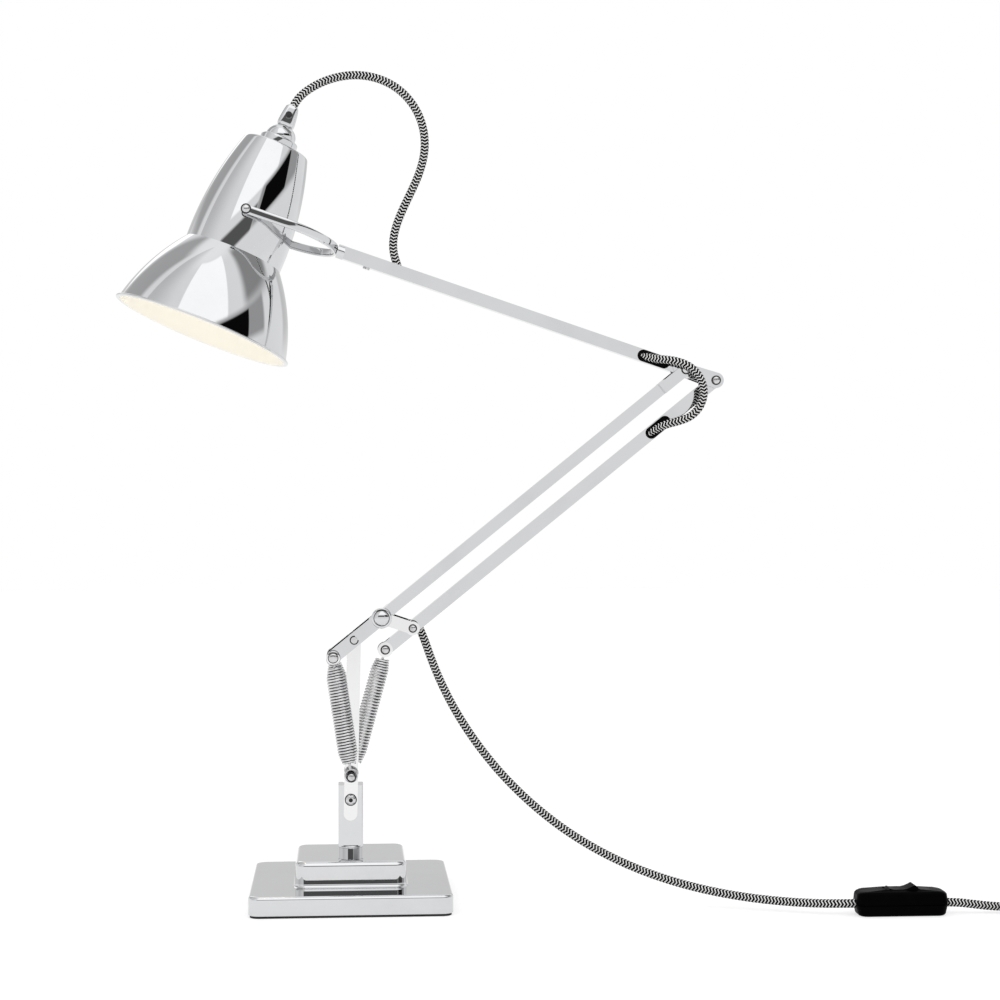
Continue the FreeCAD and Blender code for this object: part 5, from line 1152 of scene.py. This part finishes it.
@dataclass
class InlineSwitch:
    """Black inline switch: a lower shell that narrows to its foot and an arched cover with a well."""

    centre: Pair = (483.0, -109.0)
    half_long: float = 41.0
    half_wide: float = 14.0
    corner: float = 9.0
    split: float = 10.0
    crown: float = 23.6
    drop: float = 3.0
    foot_inset: Pair = (1.6, 1.0)
    foot_round: float = 3.0
    crown_inset: Pair = (0.8, 0.6)
    crown_round: float = 4.0
    bevel: float = 0.4
    seam: float = 0.1
    well: tuple[float, float, float] = (15.4, 7.9, 11.0)
    well_corner: float = 0.6
    corner_share: float = 0.8
    point: tuple[float, float, float] = (0.1, 0.1, 0.05)

    def rounded(self, start: tuple[float, float, float, float], radius: float, rise: float) -> np.ndarray:
        """Rings of a quarter round from a wall to a level surface.

        Args:
            start: half length, half width, corner radius and height where the wall ends.
            radius: radius of the round.
            rise: 1 for a top edge, -1 for a foot.

        Returns:
            An array of rings.
        """
        turn = np.linspace(0.0, np.pi / 2.0, 9)
        inset, lift = radius * (1.0 - np.cos(turn)), radius * np.sin(turn)
        return np.asarray(start) + np.stack([-inset, -inset, -self.corner_share * inset, rise * lift], axis=1)

    def piece(self, name: str, rings: np.ndarray, node: str) -> Item:
        """Stretch a skin over rings that follow the arch: height falls with the square of the length."""
        grid = box_rings(rings, steps=8)
        share = np.clip((grid[..., 2] - self.split) / (self.crown - self.split), 0.0, 1.0)
        grid[..., 2] -= self.drop * share * (grid[..., 0] / self.half_long) ** 2
        grid += (*self.centre, 0.0)
        item = Shell().grid(grid * MM).piece(name, [MATERIALS[Slot.PLASTIC]], sharp=45.0)
        return settle(item, [node], Body.BASE)

    def build(self) -> list[Item]:
        """Make the shell and the cover.

        Returns:
            The two pieces.
        """
        long, wide, corner = self.half_long, self.half_wide, self.corner
        outer, inner = (long, wide, corner), (long - self.bevel, wide - self.bevel, corner)
        end, side = self.foot_inset
        wall = (long - end, wide - side, corner - side, self.foot_round)
        foot = self.rounded(wall, self.foot_round, -1.0)[::-1]
        shell = np.concatenate([
            [(*self.point, 0.0)], foot, [(*outer, self.split - self.bevel), (*inner, self.split)],
            [(*self.point, self.split)]])
        end, side = self.crown_inset
        wall = (long - end, wide - side, corner - side, self.crown - self.crown_round)
        edge = self.rounded(wall, self.crown_round, 1.0)
        *mouth, floor = self.well
        seam = self.split + self.seam
        cover = np.concatenate([
            [(*self.point, seam), (*inner, seam), (*outer, seam + self.bevel)], edge,
            [(*mouth, self.well_corner, self.crown), (*mouth, self.well_corner, floor)],
            [(*self.point, floor)]])
        return [self.piece("switch_shell", shell, "switch_base"),
                self.piece("switch_hood", cover, "switch_cover")]


# Base, pins and linings


@dataclass
class BaseCover:
    """Two-step square cover with rounded corners, rolled edges and a soft foot to its upper step."""

    foot: float = 2.0
    slab_half: float = 90.0
    slab_top: float = 18.9
    tier_half: float = 49.7
    tier_top: float = 41.9
    corner: float = 10.0
    tier_edge: float = 4.5
    tier_foot: float = 3.0
    slab_edge: float = 3.0
    foot_edge: float = 0.8
    wall: float = 1.6
    hole: float = 7.05
    support: float = 0.5
    collar: float = 11.3
    collar_top: float = 49.5
    spigot: float = 8.0
    spigot_fit: float = 0.05
    bore: float = 5.05
    lip: Pair = (0.8, 2.6)
    lip_round: Arc = ((0.0, 2.2), (0.1, 0.8), (1.2, 0.0))
    level_corner: Pair = (4.0, 0.1)
    least_corner: float = 3.0

    def profile(self) -> np.ndarray:
        """Half width, corner radius and height of each ring, from the hole outwards, down and back inside.

        On the slab's level top the corner radius grows evenly with the half width.

        Returns:
            An array of rings.
        """
        tier = quarter_profile((self.tier_half - self.tier_edge, self.tier_top), self.tier_edge, 1.0)
        inner = quarter_profile((self.tier_half, self.slab_top + self.tier_foot), self.tier_foot, -1.0)
        slab = quarter_profile((self.slab_half - self.slab_edge, self.slab_top), self.slab_edge, 1.0)
        low = quarter_profile((self.slab_half, self.foot + self.foot_edge), self.foot_edge, -1.0, 5)
        low[:, 0] = 2.0 * self.slab_half - low[:, 0]
        gap = self.support
        skin = np.concatenate([
            tier[:1] - (gap, 0.0), tier, tier[-1:] - (0.0, gap),
            inner[:1] + (0.0, gap), inner, inner[-1:] + (gap, 0.0),
            slab[:1] - (gap, 0.0), slab, slab[-1:] - (0.0, gap), low[:1] + (0.0, gap), low])
        edge = np.where(skin[:, 1] > self.slab_top, self.tier_half, self.slab_half)
        start, growth = self.level_corner
        level = np.isclose(skin[:, 1], self.slab_top)
        radius = np.where(level, skin[:, 0] * growth + start, self.corner - edge + skin[:, 0])
        outside = np.column_stack([skin[:, 0], np.maximum(radius, self.least_corner), skin[:, 1]])
        room, tier_room = self.slab_half - self.wall, self.tier_half - self.wall
        bend = self.corner - self.wall
        roof, ceiling = self.slab_top - self.wall, self.tier_top - self.wall
        top, under = (self.hole, self.hole, self.tier_top), (self.hole, self.hole, ceiling)
        inside = [
            (room, bend, self.foot), (room, bend, roof), (tier_room, bend, roof), (tier_room, bend, ceiling),
            under]
        return np.concatenate([[top], outside, inside, [top]])

    def build(self) -> None:
        """Stretch the skin over the rings."""
        grid = box_rings(self.profile()[:, [0, 0, 1, 2]], steps=12)
        item = Shell().grid(grid * MM).piece("stepped_cover", [MATERIALS[Slot.CHROME]], sharp=34.0)
        settle(item, ["base_cover"], Body.BASE)
        grid = turned_grid(self.collar_profile(), np.zeros(3), np.array((0.0, 0.0, 1.0)), steps=72)
        item = Shell().grid(grid * MM).piece("turned_collar", [MATERIALS[Slot.CHROME]], sharp=34.0)
        settle(item, ["pivot_collar"], Body.BASE)

    def collar_profile(self) -> np.ndarray:
        """Radius and height of the collar: spigot, straight barrel and rounded lip, back down its bore."""
        outer, bore, foot, top = self.collar, self.bore, self.tier_top, self.collar_top
        under, neck = foot - self.spigot, self.hole - self.spigot_fit
        waist = outer - self.lip[0]
        spigot = [(bore, under), (neck, under), (neck, foot)]
        barrel = [(waist, foot), (waist, foot + self.support), (waist, top - self.lip[1])]
        crown = arc_through(*[(outer - inset, top - drop) for inset, drop in self.lip_round], count=9)
        return np.concatenate([spigot, barrel, crown, [(bore, top), (bore, under)]])


@dataclass
class Pin:
    """Round pin across the arms, with a domed head on a ring of painted shade at each end."""

    name: str
    place: Pair
    reach: float
    body: Body
    shaft: float = 3.0
    head: float = 4.4
    dome: float = 3.3
    thick: float = 1.8
    ring: float = 0.7
    washer: Optional[Pair] = None
    sleeve: Optional[Band] = None
    washer_wall: float = 0.7
    washer_bevel: float = 0.3
    washer_gap: float = 0.01

    def build(self) -> None:
        """Turn the shaft, the rings and the domes about the pin's axis."""
        seat = self.reach - self.thick
        shaft = [(self.shaft, 0.0)]
        if self.sleeve is not None:
            wide, low, high = self.sleeve
            shaft += [(self.shaft, low), (wide, low), (wide, high), (self.shaft, high)]
        shaft = np.array([*shaft, (self.shaft, seat)])
        collar = seat + self.ring
        ring = np.array([(self.shaft, seat), (self.head, seat), (self.head, collar), (self.dome, collar)])
        dome = dome_profile(self.dome, collar, self.reach - collar)
        # The ring under each head takes the near-black finish as painted shade
        profiles = [(shaft, 0), (ring, 1), (dome, 0)]
        if self.washer is not None:
            wide, thick = self.washer
            under, over = seat - thick, seat - self.washer_gap
            rim = [(wide, under), (wide, under + self.washer_wall * thick), (wide - self.washer_bevel, over)]
            washer = [(self.shaft, under), *rim, (self.shaft, over), (self.shaft, under)]
            profiles.append((np.array(washer), 2))
        foot = np.array((self.place[0], 0.0, self.place[1]))
        shell = Shell()
        for sign in (1.0, -1.0):
            for profile, fill in profiles:
                shell.grid(turned_grid(profile, foot, np.array((0.0, sign, 0.0)), steps=48) * MM, fill=fill)
        # Washers take the lighter chrome copy, a painted brighter reflection
        materials = [MATERIALS[Slot.STEEL], NEAR_BLACK_AND_SHADE_MATERIAL, PAINTED_LIGHT_CHROME_MATERIAL]
        item = shell.piece(self.name + "_turned", materials, sharp=40.0)
        settle(item, [self.name], self.body)


@dataclass
class Fasteners:
    """Pins of the linkage, the knob at the shoulder and the bolt through the post."""

    pins: tuple[Pin, ...] = (
        Pin("spring_anchor_pin", SPRING_ANCHOR, 25.85, Body.SWIVEL, shaft=2.5),
        Pin("tail_pin", ARM_TAIL, 25.85, Body.LOWER_ARM, shaft=2.5, head=4.8, dome=4.2, washer=(6.0, 0.5)),
        Pin("elbow_pin", (308.25, 484.89), 12.45, Body.LOWER_ARM),
        Pin("arm_end_pin", ARM_END, 9.95, Body.UPPER_ARM),
        Pin("bar_tail_pin", BAR_TAIL, 7.4, Body.BAR, shaft=2.5, washer=(6.9, 0.13)),
        Pin("link_pin", (56.33, 247.89), 18.0, Body.LINK, shaft=3.0, head=3.9, dome=2.9, washer=(6.4, 0.12),
            sleeve=(4.5, 5.6, 14.05)),
    )
    knob: Point = (27.9, -16.5, 257.46)
    knob_stud: Pair = (3.0, -38.0)
    knob_back: Arc = ((8.3, 0.0), (9.04, 0.31), (9.35, 1.05))
    knob_front: Arc = ((9.35, 2.4), (8.99, 3.2), (8.1, 3.6))
    knob_groove: Arc = ((7.3, 3.7), (7.2, 3.2), (6.95, 3.2))
    knob_rise: float = 3.3
    bolt: Point = (0.0, -11.2, 91.7)
    bolt_shank: Pair = (3.0, -27.4)
    bolt_ring: Pair = (5.5, 0.8)
    bolt_head: Arc = ((4.95, 1.0), (4.0, 2.6), (1.9, 3.2))
    bolt_socket: Pair = (1.8, 1.4)

    def turn_front(self, place: Point, profiles: Sequence[tuple[np.ndarray, int]]) -> Shell:
        """Turn profiles about a line that runs to the front from a place."""
        shell = Shell()
        forward = np.array((0.0, -1.0, 0.0))
        for profile, fill in profiles:
            shell.grid(turned_grid(np.asarray(profile), np.asarray(place), forward, steps=56) * MM, fill=fill)
        return shell

    def build_knob(self) -> None:
        """Turn the knob: stud, rounded flange, a groove of painted shade and a domed face."""
        stud, end = self.knob_stud
        back, front = arc_through(*self.knob_back, count=7), arc_through(*self.knob_front, count=9)
        flange = np.concatenate([[(0.0, end), (stud, end), (stud, 0.0)], back, front, self.knob_groove[:1]])
        face = dome_profile(*self.knob_groove[-1], self.knob_rise, 16)
        # The groove takes the near-black finish as painted shade
        item = self.turn_front(self.knob, ((flange, 0), (self.knob_groove, 1), (face, 0))).piece(
            "domed_knob", [MATERIALS[Slot.CHROME], NEAR_BLACK_AND_SHADE_MATERIAL], sharp=40.0)
        settle(item, ["shoulder_knob"], Body.LOWER_ARM)

    def build_bolt(self) -> None:
        """Turn the bolt: shank, a ring of painted shade, domed head and a socket of painted shade."""
        radius, end = self.bolt_shank
        wide, thick = self.bolt_ring
        hollow, floor = self.bolt_socket
        shank = [(0.0, end), (radius, end), (radius, 0.0)]
        ring = [(radius, 0.0), (wide, 0.0), (wide, thick), self.bolt_head[0]]
        head = arc_through(*self.bolt_head, count=10)
        socket = [self.bolt_head[-1], (hollow, floor), (0.0, floor)]
        # The ring and the socket take the near-black finish as painted shade
        item = self.turn_front(self.bolt, ((shank, 0), (ring, 1), (head, 0), (socket, 1))).piece(
            "socket_bolt", [MATERIALS[Slot.STEEL], NEAR_BLACK_AND_SHADE_MATERIAL], sharp=40.0)
        settle(item, ["post_bolt"], Body.SWIVEL)

    def build(self) -> None:
        """Make every fastener."""
        for pin in self.pins:
            pin.build()
        self.build_knob()
        self.build_bolt()


@dataclass
class Lining:
    """Black lining of a cord slot: a lip over the face and a shallow tray that the cord comes through."""

    name: str
    pivot: Pair
    face: float
    along: Point
    span: Pair
    body: Body
    back: float = 1.3
    wall: float = 4.7
    seat: float = -0.03
    lip: float = 5.5
    lip_edge: tuple[Pair, Pair] = ((0.0, -0.25), (0.3, -0.48))
    mouth: tuple[Pair, ...] = ((4.5, -0.5), (4.1, -0.3), (4.0, 0.2), (3.95, 0.95))
    floor: float = 1.0

    def build(self) -> None:
        """Stretch the lining over its rings."""
        start = np.array((self.pivot[0], self.face, self.pivot[1]))
        ends = start + np.outer(self.span, self.along)
        edge = [(self.lip - inset, depth) for inset, depth in self.lip_edge]
        profile = np.array([
            (0.0, self.back), (self.wall, self.back), (self.wall, self.seat), (self.lip, self.seat), *edge,
            *self.mouth, (0.0, self.floor)])
        grid = stadium_rings(profile, ends, np.array((0.0, 1.0, 0.0)), steps=20)
        item = Shell().grid(grid * MM).piece(self.name + "_tray", [MATERIALS[Slot.LINING]], sharp=50.0)
        settle(item, [self.name], self.body)


LININGS = (
    Lining("arm_grommet", ARM_END, -5.75, ARM_LINE, (50.9, 71.1), Body.UPPER_ARM),
    Lining("bar_grommet", BAR_TAIL, -5.45, BAR_LINE, (315.9, 332.1), Body.BAR),
)


# Finishes of the carried-over nodes


def dress_nodes() -> None:
    """Give every CAD node the finish of its slot in the record."""
    for name, node in frame["nodes"].items():
        slot = Slot(node.material_slots[0].material.name.split(".")[0])
        material = NODE_MATERIALS.get(name, MATERIALS[slot])
        for place in node.material_slots:
            place.material = material
        LOG.info("node %s has finish %s", name, material.name)


# Studio


@dataclass(frozen=True)
class Panel:
    """Soft-edged panel of the studio, as a share of light over a span of azimuth and elevation in degrees."""

    azimuth: Pair
    elevation: Pair
    light: float
    soft: float = 4.0


@dataclass(frozen=True)
class Softbox:
    """Square soft lamp: its place and size in metres, its turn in degrees and its power in watts."""

    name: str
    place: Point
    turn: Point
    size: float
    power: float


@dataclass
class Studio:
    """Camera, floor, soft lamps and the surroundings that polished metal shows."""

    lens: float = 75.53
    eye: Point = (-5.7, -1926.3, 373.5)
    pitch: float = 89.74
    yaw: float = -4.24
    floor_half: float = 6.0
    floor_drop: float = 0.0003
    floor_bounce: Colour = (0.85, 0.85, 0.85)
    floor_shown: Colour = (0.40, 0.40, 0.40)
    floor_glow: float = 0.65
    white: float = 1.0
    panels: tuple[Panel, ...] = (
        Panel((-200.0, 200.0), (74.0, 100.0), 1.15, 8.0),
        Panel((-230.0, -150.0), (5.0, 85.0), 0.70, 28.0),
        Panel((-114.0, -44.0), (27.0, 76.0), 1.45, 1.2),
        Panel((-20.0, 28.0), (28.0, 72.0), 0.33, 6.0),
        Panel((-120.0, -66.0), (8.0, 20.0), 0.12, 1.5),
        Panel((-66.0, 8.0), (9.0, 27.0), 0.42, 2.5),
        Panel((-60.0, -16.0), (10.0, 25.0), 0.004, 0.8),
        Panel((52.0, 128.0), (2.0, 25.0), 0.72, 4.0),
        Panel((95.0, 118.0), (20.0, 38.0), 1.5, 2.0),
        Panel((120.0, 166.0), (22.0, 70.0), 0.5, 6.0),
    )
    softboxes: tuple[Softbox, ...] = (
        Softbox("key_softbox", (-1.3, -1.4, 1.9), (45.0, 0.0, -42.0), 1.3, 14.0),
        Softbox("fill_softbox", (1.7, -0.9, 1.4), (52.0, 0.0, 62.0), 1.2, 7.0),
    )

    def build_camera(self) -> None:
        """Place the camera at the photograph's viewpoint."""
        data = bpy.data.cameras.new("camera")
        data.lens = self.lens
        data.sensor_width = 36.0
        data.clip_end = 50.0
        camera = bpy.data.objects.new("camera", data)
        camera.location = [value * MM for value in self.eye]
        camera.rotation_euler = (math.radians(self.pitch), 0.0, math.radians(self.yaw))
        bpy.context.scene.collection.objects.link(camera)
        bpy.context.scene.camera = camera

    def seen(self, tree: Tree) -> Socket:
        """Return a socket that is 1 for rays from the camera, from metal and through glass."""
        path = tree.nodes.new("ShaderNodeLightPath")
        camera, glossy, through = (
            path.outputs[f"Is {kind} Ray"] for kind in ("Camera", "Glossy", "Transmission"))
        return math_node(tree, "MAXIMUM", camera, math_node(tree, "MAXIMUM", glossy, through))

    def build_floor(self) -> None:
        """Lay a plain white floor that keeps a faint shadow."""
        corner = np.linspace(-self.floor_half, self.floor_half, 2)
        x, y = np.meshgrid(corner, corner, indexing="ij")
        points = np.stack([x, y, np.full_like(x, -self.floor_drop)], axis=-1)
        material = bpy.data.materials.new("white_floor")
        material.use_nodes = True
        tree = material.node_tree
        nodes, links = tree.nodes, tree.links
        nodes.remove(nodes["Principled BSDF"])
        bounce, caught = nodes.new("ShaderNodeBsdfDiffuse"), nodes.new("ShaderNodeBsdfDiffuse")
        bounce.inputs["Color"].default_value = (*self.floor_bounce, 1.0)
        caught.inputs["Color"].default_value = (*self.floor_shown, 1.0)
        white = nodes.new("ShaderNodeEmission")
        white.inputs["Strength"].default_value = self.floor_glow
        added, mixed = nodes.new("ShaderNodeAddShader"), nodes.new("ShaderNodeMixShader")
        links.new(caught.outputs[0], added.inputs[0])
        links.new(white.outputs[0], added.inputs[1])
        links.new(self.seen(tree), mixed.inputs["Fac"])
        links.new(bounce.outputs[0], mixed.inputs[1])
        links.new(added.outputs[0], mixed.inputs[2])
        links.new(mixed.outputs[0], nodes["Material Output"].inputs["Surface"])
        floor = Shell().grid(points).piece("studio_floor", [material])

    def panel_mask(self, tree: Tree, panel: Panel, azimuth: Socket,
                   elevation: Socket) -> Socket:
        """Build the mask of one panel as the product of four soft edges.

        Args:
            tree: the world's node tree.
            panel: the panel.
            azimuth: socket of the direction's azimuth in degrees.
            elevation: socket of the direction's elevation in degrees.

        Returns:
            The mask's socket.
        """
        edges = []
        for value, (low, high) in ((azimuth, panel.azimuth), (elevation, panel.elevation)):
            edges.append(map_range(tree, value, (low - panel.soft, low + panel.soft), (0.0, 1.0), True))
            edges.append(map_range(tree, value, (high - panel.soft, high + panel.soft), (1.0, 0.0), True))
        mask = edges[0]
        for edge in edges[1:]:
            mask = math_node(tree, "MULTIPLY", mask, edge)
        return mask

    def build_world(self) -> None:
        """Surround the lamp with a white studio whose lighter and darker panels show in the metal only."""
        world = bpy.data.worlds.new("studio")
        bpy.context.scene.world = world
        world.use_nodes = True
        tree = world.node_tree
        nodes, links = tree.nodes, tree.links
        place = nodes.new("ShaderNodeTexCoord")
        split = nodes.new("ShaderNodeSeparateXYZ")
        links.new(place.outputs["Generated"], split.inputs[0])
        x, y, z = (split.outputs[axis] for axis in "XYZ")
        degrees = 180.0 / math.pi
        azimuth = math_node(tree, "MULTIPLY", math_node(tree, "ARCTAN2", y, x), degrees)
        elevation = math_node(tree, "MULTIPLY", math_node(tree, "ARCSINE", z), degrees)
        path = nodes.new("ShaderNodeLightPath")
        hidden = math_node(tree, "SUBTRACT", 1.0, path.outputs["Is Camera Ray"])
        level = None
        for panel in self.panels:
            mask = self.panel_mask(tree, panel, azimuth, elevation)
            mix = nodes.new("ShaderNodeMix")
            mix.data_type = "FLOAT"
            links.new(math_node(tree, "MULTIPLY", mask, hidden), mix.inputs["Factor"])
            if level is None:
                mix.inputs["A"].default_value = self.white
            else:
                links.new(level, mix.inputs["A"])
            mix.inputs["B"].default_value = panel.light
            level = mix.outputs["Result"]
        links.new(level, nodes["Background"].inputs["Strength"])
        nodes["Background"].inputs["Color"].default_value = (1.0, 1.0, 1.0, 1.0)

    def build_lamps(self) -> None:
        """Hang two soft lamps for gentle shading."""
        for box in self.softboxes:
            data = bpy.data.lights.new(box.name, "AREA")
            data.energy = box.power
            data.size = box.size
            lamp = bpy.data.objects.new(box.name, data)
            lamp.location = box.place
            lamp.rotation_euler = [math.radians(angle) for angle in box.turn]
            lamp.visible_glossy = False
            bpy.context.scene.collection.objects.link(lamp)

    def build(self) -> None:
        """Set up the camera, floor, surroundings and lamps."""
        self.build_camera()
        self.build_floor()
        self.build_world()
        self.build_lamps()
        bpy.context.scene.view_settings.view_transform = "Standard"


def main() -> None:
    """Build the dressed lamp, part by part."""
    logging.basicConfig(level=logging.INFO, format="%(message)s")
    Studio().build()
    dress_nodes()
    CordRun(InlineSwitch().build()).build()
    SpringSet().build()
    Shade().build()
    Fork().build()
    BaseCover().build()
    Fasteners().build()
    for lining in LININGS:
        lining.build()


if __name__ == "__main__":
    main()
